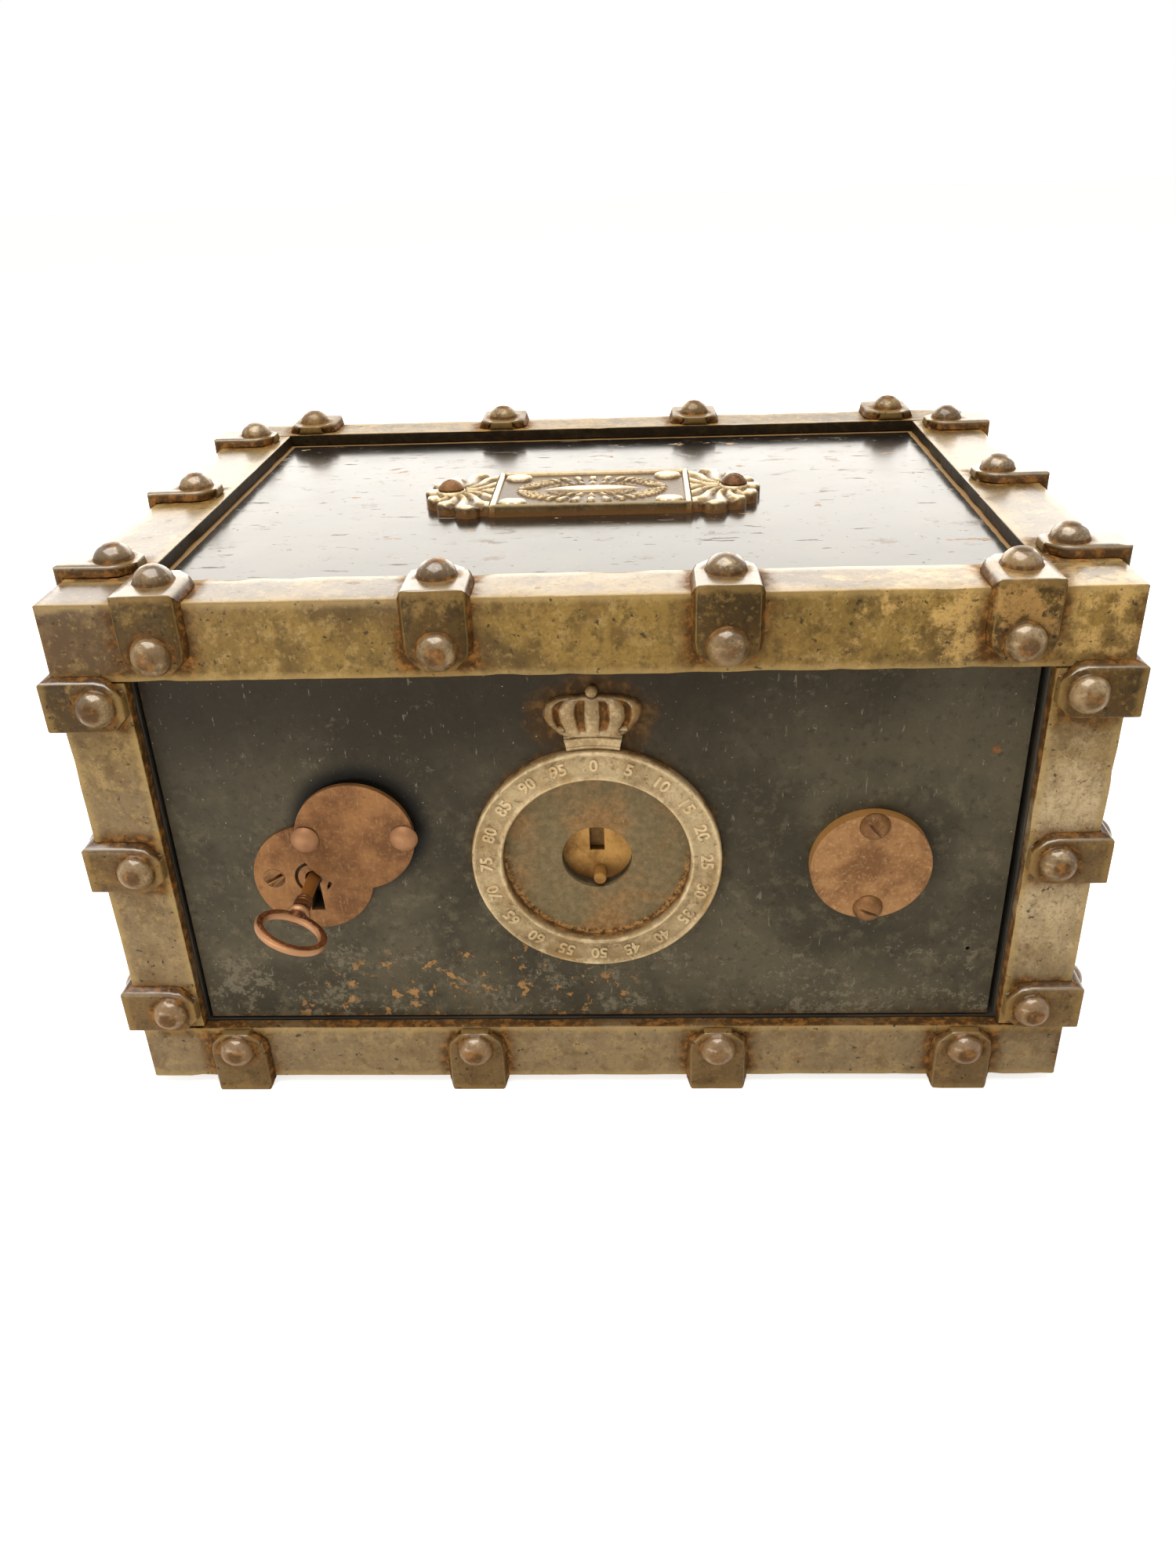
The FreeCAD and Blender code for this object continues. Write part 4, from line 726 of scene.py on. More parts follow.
def patina(name, dark, middle, pale, gloss, metal, scratch=(1, 1, 1), speckled=0.35, heads=None,
           wall=None, foot=None, coat=0.0):
    """Brown coppery metal with fine scratches and bright speckles."""
    f = Finish(name)
    clouds = f.noise(18, detail=6)
    speckle = f.noise(1.5, detail=4, rough=0.7)
    lines = f.noise(1.1, detail=4, stretch=scratch)
    f.colour = f.blend(f.step(clouds, 0.38, 0.62), dark, middle)
    f.mark(speckle, 0.5, 0.72, speckled, pale)
    f.mark(lines, 0.56, 0.72, 0.3, pale)
    f.mark(f.noise(4, detail=5), 0.58, 0.72, 0.6, dark)
    rust = f.ragged(f.painted("rust"), f.noise(6, detail=5), (-0.6, 0.2), (0.05, 0.5))
    f.lay(f.times(rust, 0.85), RUST)
    worn = f.ragged(f.painted("worn"), f.noise(5, detail=5), (-0.5, 0.2), (0.05, 0.6))
    f.lay(f.times(worn, 0.8), pale)
    f.lay(f.times(f.painted("grime"), f.level(speckle, 0.6, 1.1)), COPPER_GRIME)
    if heads:
        front, head_tone = heads
        proud = f.fall(f.part(Y), *(front - rise for rise in HEAD_RISE))
        f.lay(f.times(proud, f.level(clouds, 0.4, 1.0)), head_tone)
    if wall:
        front, wall_tone = wall
        behind = f.step(f.part(Y), *(front + depth for depth in WALL_DEPTH))
        f.lay(f.times(behind, f.level(f.noise(3, detail=5), 0.3, 1.1)), wall_tone)
    if foot:
        start, end, foot_tone = foot
        f.lay(f.times(f.fall(f.part(Z), start, end), f.level(clouds, 0.5, 1.1)), foot_tone)
    f.bump(f.plus(f.times(speckle, 0.6), f.times(lines, 0.3)), 0.16)
    return f.done(f.level(speckle, gloss - 0.1, gloss + 0.2), Metallic=metal, IOR=1.25,
                  Coat_Weight=f.level(f.painted("grime"), coat, 0.0), Coat_Roughness=0.2)


def plate_copper():
    return patina("plate_copper", tone(98, 63, 34), tone(135, 93, 54), tone(172, 131, 85), 0.42, 0.3,
                  scratch=(1, 1, 6), heads=(box_of("keyhole_cover")[0].y, tone(172, 124, 86)))


def blank_iron():
    # The side wall is a pale golden rust: partly rust, partly painted light for light falling on the wall
    return patina("blank_iron", tone(114, 76, 42), tone(158, 114, 70), tone(204, 162, 116), 0.5, 0.1,
                  speckled=0.4, wall=(box_of("blank_plate")[0].y, tone(166, 116, 56)))


def key_brass():
    return patina("key_brass", tone(70, 37, 15), tone(112, 68, 36), tone(172, 125, 86), 0.34, 0.45)


def name_bronze():
    return patina("name_bronze", tone(106, 79, 38), tone(146, 115, 64), tone(222, 198, 152), 0.34, 0.3,
                  coat=0.6)


def screw_iron():
    return patina("screw_iron", tone(84, 54, 28), tone(122, 84, 48), tone(176, 136, 94), 0.4, 0.35)


def hub_iron():
    # Painted shade in the socket: the hub's walls and slot are dark, and its lower face darker
    return patina("hub_iron", tone(124, 84, 36), tone(190, 142, 74), tone(216, 176, 114), 0.55, 0.1,
                  wall=(box_of("drive_hub")[0].y, tone(62, 38, 16)),
                  foot=(HUB.z + HUB_PAINTED_SHADE[0], HUB.z + HUB_PAINTED_SHADE[1], tone(106, 66, 24)))


def plain_metal(name, dark, pale, gloss, metal, brushed=(8, 1, 1)):
    """Worked metal inside the door: fine tool lines over soft stains."""
    f = Finish(name)
    lines = f.noise(1.2, detail=4, stretch=brushed)
    stains = f.step(f.noise(22, detail=6), 0.35, 0.65)
    f.colour = f.blend(f.plus(f.times(stains, 0.7), f.times(lines, 0.3)), dark, pale)
    f.mark(f.noise(9, detail=6), 0.62, 0.74, 0.5, RUST_DARK)
    f.bump(lines, 0.08)
    return f.done(f.level(lines, gloss - 0.1, gloss + 0.15), Metallic=metal)


def works_steel():
    return plain_metal("works_steel", tone(104, 98, 90), tone(168, 162, 152), 0.35, 0.85)


def bush_bronze():
    return plain_metal("bush_bronze", tone(132, 98, 52), tone(190, 150, 90), 0.35, 0.85)


def dull_paint(name, dark, pale, chip, gloss):
    """Old brushed paint with soiled patches and worn spots."""
    f = Finish(name)
    clouds = f.noise(60, detail=6)
    brush = f.noise(2.6, detail=4, stretch=(9, 1, 1))
    f.colour = f.blend(f.step(clouds, 0.35, 0.66), dark, pale)
    f.mark(f.noise(10, detail=7, rough=0.7), 0.6, 0.7, 0.6, chip)
    f.bump(brush, 0.12)
    return f.done(f.level(brush, gloss - 0.08, gloss + 0.12))


def liner_paint():
    return dull_paint("liner_paint", tone(104, 56, 36), tone(134, 76, 50), tone(86, 62, 46), 0.55)


def jamb_iron():
    return dull_paint("jamb_iron", tone(44, 40, 34), tone(70, 63, 52), tone(120, 88, 52), 0.5)


def fire_lining():
    """Pressed mineral filling."""
    f = Finish("fire_lining")
    grain = f.noise(2.4, detail=7, rough=0.75)
    f.colour = f.blend(f.step(f.noise(26, detail=6), 0.35, 0.65), tone(168, 162, 150), tone(204, 198, 186))
    f.mark(grain, 0.55, 0.7, 0.5, tone(140, 132, 118))
    f.bump(grain, 0.8)
    return f.done(0.9)


MAKERS = (bar_iron, cleat_iron, rivet_iron, panel_lacquer, fire_lining, liner_paint, jamb_iron, bush_bronze,
          name_bronze, screw_iron, door_paint, works_steel, hub_iron, ring_iron, plate_copper, blank_iron,
          key_brass)
FINISHES = {make.__name__: make() for make in MAKERS}


# Bars

def rounded(corners, step):
    """Points round an outline of corners (a, b, radius), with their outward ways and nearness to an edge."""
    found = []
    for i, (a, b, radius) in enumerate(corners):
        here = Vector((a, b))
        back = (Vector(corners[i - 1][:2]) - here).normalized()
        following = corners[(i + 1) % len(corners)]
        ahead = Vector(following[:2]) - here
        run = ahead.length - radius - following[2]
        ahead.normalize()
        side = Vector((ahead.y, -ahead.x))
        if radius:
            middle = here + (back + ahead) * radius
            for k in range(ARC_STEPS + 1):
                turn = math.pi / 2 * k / ARC_STEPS
                out = -(ahead * math.cos(turn) + back * math.sin(turn))
                found.append((middle + out * radius, out, 1))
        else:
            found.append((here, (side + Vector((-back.y, back.x))).normalized(), 0))
        pieces = max(1, round(run / step))
        for k in range(1, pieces):
            along = run * k / pieces
            near = math.exp(-min(along, run - along) / EDGE_FADE)
            found.append((here + ahead * (radius + along), side, near))
    return found


def angle_outline(wide, tall, thick, edge, step, bend):
    """The outline of an angle section, from its outer corner."""
    return rounded([(0, 0, bend), (wide, 0, edge), (wide, thick, edge), (thick, thick, 0),
                    (thick, tall, edge), (0, tall, edge)], step)


def angle_corner(outline, thick):
    """The places of an angle's outer and inner corners in its outline."""
    def nearest(a, b):
        return min(range(len(outline)), key=lambda i: (outline[i][0] - Vector((a, b))).length)
    return nearest(0, 0), nearest(thick, thick)


def worn_depth(place, edge):
    """How far old iron has gone under its true surface: hollows, pits and knocked edges."""
    hollow = HOLLOW_DEPTH * dent(place, HOLLOW_SIZE)
    pit = PIT_DEPTH * dent(place, PIT_SIZE, PIT_SEED)
    return hollow + pit + KNOCK_DEPTH * edge * max(0, ripple(place, KNOCK_SIZE, KNOCK_SEED) - KNOCK_LEAST)


class Edge:
    """An outer edge of a box: a place on it is two depths inward and a length along it."""

    def __init__(self, low, high, a_axis, b_axis):
        self.a_axis = a_axis
        self.b_axis = b_axis
        self.axis = X + Y + Z - a_axis - b_axis
        middle = (low + high) / 2
        self.ways = {i: 1 if middle[i] < CASE_MIDDLE[i] else -1 for i in (a_axis, b_axis)}
        self.corner = Vector([low[i] if self.ways.get(i, 1) > 0 else high[i] for i in range(3)])

    def upward(self, out):
        """How far an outward way of the section points up."""
        return max(0, -out.y) if self.b_axis == Z and self.ways[Z] < 0 else 0

    def place(self, a, b, along):
        spot = self.corner.copy()
        spot[self.a_axis] += self.ways[self.a_axis] * a
        spot[self.b_axis] += self.ways[self.b_axis] * b
        spot[self.axis] = along
        return spot


def sweep(shell, edge, outline, low, high, rust_at, corner):
    """Carries an outline along an edge, with eased ends and an uneven skin."""
    run = high - low - 2 * END_EASE
    eased = ((0, END_EASE), (END_EASE_STEP * END_EASE, END_EASE_STEP * END_EASE))
    rows = [(low + along, inset) for along, inset in eased]
    rows += [(low + END_EASE + run * share, 0) for share in shares(max(2, round(run / BAR_STEP)))]
    rows += [(high - along, inset) for along, inset in reversed(eased)]
    upright = edge.axis == Z

    def spot(row, rim):
        along, inset = row
        point, out, near = rim
        end = math.exp(-min(along - low, high - along) / END_RUST_FADE)
        true = edge.place(point.x, point.y, along)
        sunk = point - out * (inset + worn_depth(true, near))
        # Painted shade: the inner faces of the top bars, the walls of the shallow recess round the top panel,
        # carry a dark value that darkens them
        grime = 0 if upright else smooth(out.x, *INWARD)
        inward = smooth(max(out.x, out.y) if upright else out.y, *INWARD)
        rust = max(rust_at(true), END_RUST * end, EDGE_RUST * inward)
        # Faces that point up are paler: partly wear, partly painted light for the light and sheen on the tops
        worn = max(near, END_WEAR * end, BAR_TOP_WEAR_AND_LIGHT * edge.upward(out)) * (1 - max(grime, inward))
        return Spot(edge.place(sunk.x, sunk.y, along), rust, worn, grime)

    shell.loft(grid(rows, outline, spot), corner=corner)


def rust_beside(boxes, low, high):
    """Rust on a bar, by how near a point is to the straps that cross it."""
    close = [(least, most) for least, most in boxes
             if all(least[i] < high[i] + STRAP_RUST_REACH and most[i] > low[i] - STRAP_RUST_REACH
                    for i in range(3))]

    def rust_at(place):
        gap = min((gap_to_box(place, least, most) for least, most in close), default=NO_STRAP_NEAR)
        return math.exp(-gap / STRAP_RUST_FADE)

    return rust_at


def bar_legs(wide, tall, first, second):
    """A bar's outlines, each with its run: a whole angle, or two legs of different lengths."""
    thick = BAR_THICKNESS
    edge = BAR_EDGE
    if first == second:
        outline = angle_outline(wide, tall, thick, edge, BAR_STEP, edge)
        return [(outline, first, angle_corner(outline, thick))]
    flat = rounded([(0, 0, edge), (wide, 0, edge), (wide, thick, edge), (0, thick, 0)], BAR_STEP)
    skirt = rounded([(0, thick, 0), (thick, thick, 0), (thick, tall, edge), (0, tall, edge)], BAR_STEP)
    return [(flat, first, None), (skirt, second, None)]


def bars(strap_boxes):
    """The twelve bars. The long ones are whole angles; the rest have legs of two lengths."""
    def make(name, a_axis, b_axis, first=None, second=None):
        low, high = box_of(name)
        edge = Edge(low, high, a_axis, b_axis)
        whole = (low[edge.axis], high[edge.axis])
        shell = Shell()
        rust_at = rust_beside(strap_boxes, low, high)
        size = high - low
        legs = bar_legs(size[a_axis], size[b_axis], first or whole, second or whole)
        for outline, (start, end), corner in legs:
            sweep(shell, edge, outline, start, end, rust_at, corner)
        shell.piece("iron_" + name, "case", "bar_iron", [name])

    for row in ("top", "bottom"):
        for face in ("front", "back"):
            make("%s_%s_bar" % (face, row), Y, Z)
        for side in ("left", "right"):
            between = (box_of("front_%s_bar" % side)[1].y, box_of("back_%s_bar" % side)[0].y)
            make("%s_%s_bar" % (row, side), X, Z, second=between)
    for face in ("front", "back"):
        between = (box_of(face + "_bottom_bar")[1].z, box_of(face + "_top_bar")[0].z)
        for side in ("left", "right"):
            make("%s_%s_bar" % (face, side), X, Y, first=between)


# Straps and rivets

STRAP_AXES = {"long_edge_cleats": (Y, Z), "side_edge_cleats": (X, Z), "upright_cleats": (X, Y)}


def strap(shell, low, high, a_axis, b_axis, rivets):
    """A strap bent over an edge: clipped ends, soft shoulders, and flanks that run out on to the bar."""
    edge = Edge(low, high, a_axis, b_axis)
    wide = high[a_axis] - low[a_axis]
    tall = high[b_axis] - low[b_axis]
    middle = (low[edge.axis] + high[edge.axis]) / 2
    half = (high[edge.axis] - low[edge.axis]) / 2
    outline = angle_outline(wide, tall, STRAP_THICKNESS, STRAP_EDGE, STRAP_STEP, STRAP_BEND)
    rows = [(-share, fall) for share, fall in STRAP_ROWS]
    rows += [(share, fall) for share, fall in reversed(STRAP_ROWS)]
    close = [(base, way) for base, way in rivets if gap_to_box(base, low, high) < RIVET_ON_STRAP]

    def spot(row, rim):
        share, fall = row
        point, out, near = rim
        tip = STRAP_TIP_ROUND * fall
        to_tip = wide - point.x if point.y <= STRAP_THICKNESS else tall - point.y
        along = middle + share * (half - max(0, STRAP_CLIP - max(0, to_tip)))
        depth = fall + STRAP_UNEVEN * worn_depth(edge.place(point.x, point.y, along), near)
        sunk = Vector((min(point.x, wide - tip), min(point.y, tall - tip)))
        if min(point.x, point.y) > STRAP_THICKNESS - STRAP_EDGE:
            sunk += out * STRAP_SINK
        else:
            sunk = Vector((max(sunk.x, depth), max(sunk.y, depth)))
        place = edge.place(sunk.x, sunk.y, along)
        away = min(((place - base) - way * (place - base).dot(way)).length for base, way in close)
        ring_rust = RIVET_RING_RUST * math.exp(-max(0, away - RIVET_RADIUS) / RIVET_RUST_FADE)
        rust = max(FLANK_RUST * smooth(fall, *FLANK_FALL), ring_rust)
        # Faces that point up are paler: partly wear, partly painted light for the light and sheen on the tops
        worn = max(smooth(fall, *SHOULDER_START), near, STRAP_TOP_WEAR_AND_LIGHT * edge.upward(out))
        return Spot(place, rust, worn * (1 - smooth(fall, *SHOULDER_END)))

    shell.loft(grid(rows, outline, spot), corner=angle_corner(outline, STRAP_THICKNESS))


def straps(boxes, rivets):
    """All the straps of each kind of edge."""
    for node, (a_axis, b_axis) in STRAP_AXES.items():
        shell = Shell()
        for low, high in boxes[node]:
            strap(shell, low, high, a_axis, b_axis, rivets)
        shell.piece("iron_" + node, "case", "cleat_iron", [node])


def rivet_places(node, head):
    """The seat of each rivet's head and the way that it points."""
    places = []
    for points in islands(node):
        low, high = span(points)
        size = high - low
        axis = max(range(3), key=lambda i: size[i])
        seat = (low + high) / 2
        side = 1 if seat[axis] > CASE_MIDDLE[axis] else -1
        way = Vector([side if i == axis else 0 for i in range(3)])
        seat[axis] = (high[axis] if side > 0 else low[axis]) - side * head
        places.append((seat, way))
    return places


def rivet_heads(rivets):
    """Hammered domes, each a little different, with a flare where it was set."""
    rows = [(RIVET_RADIUS + share * RIVET_FLARE, rise) for share, rise in RIVET_FLARE_ROWS]
    for share in shares(RIVET_RINGS - 1):
        tilt = math.pi / 2 * (RIVET_LOWEST + RIVET_RUN * share)
        rows.append((RIVET_RADIUS * math.cos(tilt), RIVET_HEIGHT * math.sin(tilt)))
    shell = Shell()
    for seat, way in rivets:
        across = UP if abs(way.z) < 0.5 else RIGHT
        other = way.cross(across)

        def spot(row, turn):
            reach, rise = row
            spoke = across * math.cos(turn) + other * math.sin(turn)
            hollow = dent(seat + spoke * reach + way * rise, RIVET_DENT_SIZE)
            place = seat + spoke * reach * (1 - RIVET_DENT_WIDE * hollow)
            place += way * rise * (1 - RIVET_DENT_TALL * hollow)
            foot_rust = RIVET_FOOT_RUST * (1 - smooth(rise, *RIVET_FOOT))
            # The cap is rusty and dark at its middle: partly rust, partly a painted dark reflection
            rust = max(foot_rust, RIVET_CAP_RUST_AND_DARK_REFLECTION * smooth(rise, *RIVET_CAP))
            return Spot(place, rust, RIVET_WEAR * smooth(rise, *RIVET_FLANK))

        shell.loft(grid(rows, turns(RIVET_SIDES), spot))
    shell.piece("iron_rivets", "case", "rivet_iron", ["dome_rivets"])


# The cast plate on the top

PLATE_HALF_LENGTH = 43
PLATE_HALF_DEPTH = 26.5
PLATE_STEP = 0.75
PLATE_FRAME = 1.7
PLATE_END_BAR = 2.8
PLATE_FIELD = 3.7
PLATE_HIGH = 5.3
PLATE_WORN_FROM = 4.2
PLATE_GRIME = 0.85
PLATE_GRIME_FADE = (0.6, 0.2)
PLATE_RUST = 0.5
PLATE_RUST_FADE = (3.2, 4.0)
RIM_START = 0.1
RIM_RAMP = 0.7
EDGE_DROP = 0.9
EDGE_RAMP = 0.5
OVAL_HALF = (21, 5.6)
OVAL_RISE = 1.3
BOSS_PLACE = (33.5, 19.2)
BOSS_HALF = (6.4, 4.4)
BOSS_RAMP = (0.82, 1.0)
BOSS_CLEAR = 1.15
RAYS_HALF = (36, 21)
RAY_TICK = (-0.15, 0.55)
RAY_END = 0.05
# Each ring of rays: where it starts and ends, how many rays it has and how high they are
RAY_RINGS = ((0.34, 0.58, 44, 0.95), (0.66, 0.94, 60, 1.1))
FAN_RADIUS = 24.8
FAN_LOBE = 5.6
FAN_LOBE_TURN = 22.5
FAN_LOBES = (-3, -2, -1, 0, 1, 2, 3)
FAN_TURNS = 120
FAN_RINGS = 26
FAN_HEART = 0.02
FAN_SPACING = 0.8
FAN_LOW = 3.3
FAN_WORN_FROM = 4.0
FAN_DROP = 1.2
FAN_EASE = 1.1
FLUTE_TURN = 21
FLUTE_SWING = 9
FLUTE_WAVE = 5
FLUTE_RISE = 1.8
FLUTE_FULL = 0.8
LEAF_START = (5.5, 8)
LEAF_TURN = (105, 135)
SCALLOP_TICK = (-0.5, 0.4)
SCALLOP_RISE = 1.6
SCALLOP_DEPTH = (4.5, 7)
SCREW_REACH = 19
SEAT_RISE = 2.1
SEAT_EDGE = (5.4, 7.2)


def plate_height(u, v):
    """The relief of the plate's middle: frame, corner bosses, long oval, and two rings of rays round it."""
    def rim(gap, wide):
        return smooth(gap, RIM_START, RIM_RAMP) * (1 - smooth(gap, wide - RIM_RAMP, wide))

    end = PLATE_HALF_LENGTH - abs(u)
    side = PLATE_HALF_DEPTH - abs(v)
    tall = PLATE_HIGH - PLATE_FIELD
    height = PLATE_FIELD + tall * max(rim(side, PLATE_FRAME), rim(end, PLATE_END_BAR))
    height -= EDGE_DROP * (1 - smooth(min(end, side), 0, EDGE_RAMP))
    boss = math.hypot((abs(u) - BOSS_PLACE[0]) / BOSS_HALF[0], (abs(v) - BOSS_PLACE[1]) / BOSS_HALF[1])
    height = max(height, PLATE_FIELD + (tall - 0.1) * (1 - smooth(boss, *BOSS_RAMP)))
    oval = math.hypot(u / OVAL_HALF[0], v / OVAL_HALF[1])
    if oval < 1:
        return max(height, PLATE_FIELD + OVAL_RISE * math.sqrt(1 - oval * oval))
    turn = math.atan2(v / OVAL_HALF[1], u / OVAL_HALF[0])
    spread = math.hypot(u / RAYS_HALF[0], v / RAYS_HALF[1])
    for near, far, rays, rise in RAY_RINGS:
        if near < spread < far and boss > BOSS_CLEAR:
            tick = smooth(math.cos(rays * turn), *RAY_TICK)
            ends = smooth(spread, near, near + RAY_END) * (1 - smooth(spread, far - RAY_END, far))
            height = max(height, PLATE_FIELD + rise * tick * ends)
    return height


def fan_edge(turn):
    """How far a fan reaches at an angle in degrees: a disc with round lobes on its rim."""
    reach = FAN_RADIUS
    for lobe in FAN_LOBES:
        off = math.radians(turn - lobe * FAN_LOBE_TURN)
        chord = FAN_LOBE ** 2 - (FAN_RADIUS * math.sin(off)) ** 2
        if chord > 0 and math.cos(off) > 0:
            reach = max(reach, FAN_RADIUS * math.cos(off) + math.sqrt(chord))
    return reach


def fan_height(reach, edge, turn):
    """The relief of a fan: flutes that sweep out from the screw's seat, and a raised scallop on each lobe."""
    x = SCREW_REACH - reach * math.cos(math.radians(turn))
    y = reach * math.sin(math.radians(turn))
    away = math.hypot(x, y)
    aim = math.degrees(math.atan2(y, x))
    swing = aim + math.copysign(FLUTE_SWING, aim) * math.sin(away / FLUTE_WAVE)
    flute = 0.5 + 0.5 * math.cos(FULL_TURN * swing / FLUTE_TURN)
    leaf = smooth(away, *LEAF_START) * (1 - smooth(abs(aim), *LEAF_TURN))
    scallop = smooth(math.cos(FULL_TURN * turn / FAN_LOBE_TURN), *SCALLOP_TICK)
    rise = max(FLUTE_RISE * flute ** FLUTE_FULL * leaf,
               SCALLOP_RISE * scallop * (1 - smooth(edge - reach, *SCALLOP_DEPTH)),
               SEAT_RISE * (1 - smooth(away, *SEAT_EDGE)))
    return FAN_LOW + rise - FAN_DROP * (1 - smooth(edge - reach, 0, FAN_EASE))


def relief_spot(x, y, level, height, floor):
    """A point of the plate's top: bright where it is high, grimy where it is low."""
    grime = PLATE_GRIME * (1 - smooth(height, level - PLATE_GRIME_FADE[0], level + PLATE_GRIME_FADE[1]))
    rust = PLATE_RUST * (1 - smooth(height, *PLATE_RUST_FADE))
    return Spot(Vector((x, y, floor + height)), rust, smooth(height, level, PLATE_HIGH), grime)


def name_plate():
    """A block between two fans, all in low relief."""
    floor = box_of("name_plate")[0].z
    middle = middle_of("name_plate").y
    shell = Shell()

    def block_spot(down, across):
        u = PLATE_HALF_LENGTH * across
        v = PLATE_HALF_DEPTH * down
        return relief_spot(u, middle + v, PLATE_WORN_FROM, plate_height(u, v), floor)

    columns = both_ways(round(2 * PLATE_HALF_LENGTH / PLATE_STEP))
    rows = both_ways(round(2 * PLATE_HALF_DEPTH / PLATE_STEP))
    shell.slab(grid(rows, columns, block_spot), floor)
    for side in (-1, 1):
        def fan_spot(quarter, share):
            turn = 90 * quarter
            edge = fan_edge(turn)
            reach = edge * (FAN_HEART + (1 - FAN_HEART) * share ** FAN_SPACING)
            x = side * (PLATE_HALF_LENGTH + reach * math.cos(math.radians(turn)))
            y = middle + reach * math.sin(math.radians(turn))
            return relief_spot(x, y, FAN_WORN_FROM, fan_height(reach, edge, turn), floor)

        shell.slab(grid(both_ways(FAN_TURNS), shares(FAN_RINGS), fan_spot), floor)
    shell.piece("cast_name_plate", "case", "name_bronze", ["name_plate"], crease=50)


# The dial ring, its numbers and its crown

RING_INNER = 36
RING_SIDES = 160
RING_LIP = 1.9
RING_FIELD = 0.85
RING_FIELD_DARKENING = 0.28
RING_RUST = (1.5, 5)
RING_ROOT = (0, 2)
RING_UNEVEN = 0.25
RING_DENT_SIZE = 9
# Both rims: inset, share of the height, wear
RING_RIM = ((0, 0, 0), (0, 0.7, 0), (0.25, 0.9, 0.3), (0.8, 1, 0.7), (1.2, 1, 0.5))
# The field beside both rims: inset, lift, wear, and how much darker it is
RING_SUNK = ((RING_LIP, 0.1, 0.2, 0.1), (RING_LIP + 0.6, 0, 0, RING_FIELD_DARKENING),
             (RING_LIP + 3, 0, 0, 0.6 * RING_FIELD_DARKENING))
NUMBER_COUNT = 20
NUMBER_STEP = 5
NUMBER_SIZE = 6.6
NUMBER_EXTRUDE = 0.28
NUMBER_BEVEL = 0.24
NUMBER_SINK = 0.05
NUMBER_WEAR = 0.6


def dial_ring():
    """The cast ring: a lip along both rims and a sunk field for the numbers."""
    low, high = box_of("dial_ring")
    outer = (high.x - low.x) / 2
    tall = high.y - low.y
    field = tall - RING_FIELD
    half = [(inset, tall * share, worn, 0) for inset, share, worn in RING_RIM]
    half += [(inset, field + lift, worn, grime) for inset, lift, worn, grime in RING_SUNK]
    profile = [(outer - inset, *rest) for inset, *rest in half]
    profile += [(RING_INNER + inset, *rest) for inset, *rest in reversed(half)]
    centre = Vector((HUB.x, high.y, HUB.z))

    def spot(turn, row):
        radius, rise, worn, grime = row
        place = centre + Vector((math.cos(turn), 0, math.sin(turn))) * radius + OUT * rise
        place -= OUT * RING_UNEVEN * dent(place, RING_DENT_SIZE) * smooth(rise, *RING_ROOT)
        return Spot(place, 1 - smooth(rise, *RING_RUST), worn, grime)

    shell = Shell()
    shell.loft(grid(turns(RING_SIDES), profile, spot), looped=True)
    shell.piece("cast_dial_ring", "door", "ring_iron", ["dial_ring"], crease=60)
    numbers(centre + OUT * (field - NUMBER_SINK), (outer + RING_INNER) / 2)


def numbers(centre, radius):
    """Raised numbers round the ring, upright at its top."""
    work = bmesh.new()
    facing = Matrix.Translation(UP * radius * MM) @ Matrix.Rotation(math.pi / 2, 4, "X")
    for i, turn in enumerate(turns(NUMBER_COUNT)):
        text = bpy.data.curves.new("number", "FONT")
        text.body = str(i * NUMBER_STEP)
        text.align_x = "CENTER"
        text.align_y = "CENTER"
        text.size = NUMBER_SIZE * MM
        text.extrude = NUMBER_EXTRUDE * MM
        text.bevel_depth = NUMBER_BEVEL * MM
        text.bevel_resolution = 1
        text.resolution_u = 4
        thing = bpy.data.objects.new("number", text)
        mesh = bpy.data.meshes.new_from_object(thing)
        mesh.transform(Matrix.Translation(centre * MM) @ Matrix.Rotation(turn, 4, "Y") @ facing)
        work.from_mesh(mesh)
        bpy.data.objects.remove(thing)
        bpy.data.curves.remove(text)
        bpy.data.meshes.remove(mesh)
    mesh = bpy.data.meshes.new("dial_numbers")
    bmesh.ops.remove_doubles(work, verts=work.verts, dist=WELD)
    work.to_mesh(mesh)
    work.free()
    worn = mesh.attributes.new("worn", "FLOAT", "POINT")
    worn.data.foreach_set("value", [NUMBER_WEAR] * len(mesh.vertices))
    dress(bpy.data.objects.new("dial_numbers", mesh), "door", "ring_iron", [])


CROWN_HALF = 18
CROWN_FOOT_HALF = 12.5
CROWN_WIDEST = 0.56
CROWN_SHOULDER = 2.6
CROWN_COLUMNS = 96
CROWN_ROWS = 34
CROWN_TOP_ROW = 0.985
CROWN_DENT_SIZE = 2.6
CROWN_DENT_DEPTH = 0.3
CROWN_RUST = 0.62
CROWN_GROOVE_RUST = 2.4
CROWN_ROOT = (1.6, 3.8)
CROWN_WEAR = 0.25
CROWN_CREST = (0.8, 1)
CROWN_BALL = 2.3
BALL_CLEAR = 1.7
BALL_SEAT = 0.9
BALL_RUST = 0.6
BALL_WEAR = 0.3
# The lobes on either hand, by their edges as shares of the half width, and how square they are
CROWN_LOBES = ((-0.18, 0.18), (0.32, 0.68), (0.77, 1.02))
CROWN_LOBE_SQUARE = 2.4
# The shares of the height at which the grooves start and end, and at which the top falls away
GROOVE_START = (0.02, 0.2)
GROOVE_END = (0.8, 0.97)
CUSHION_TURN = 0.6
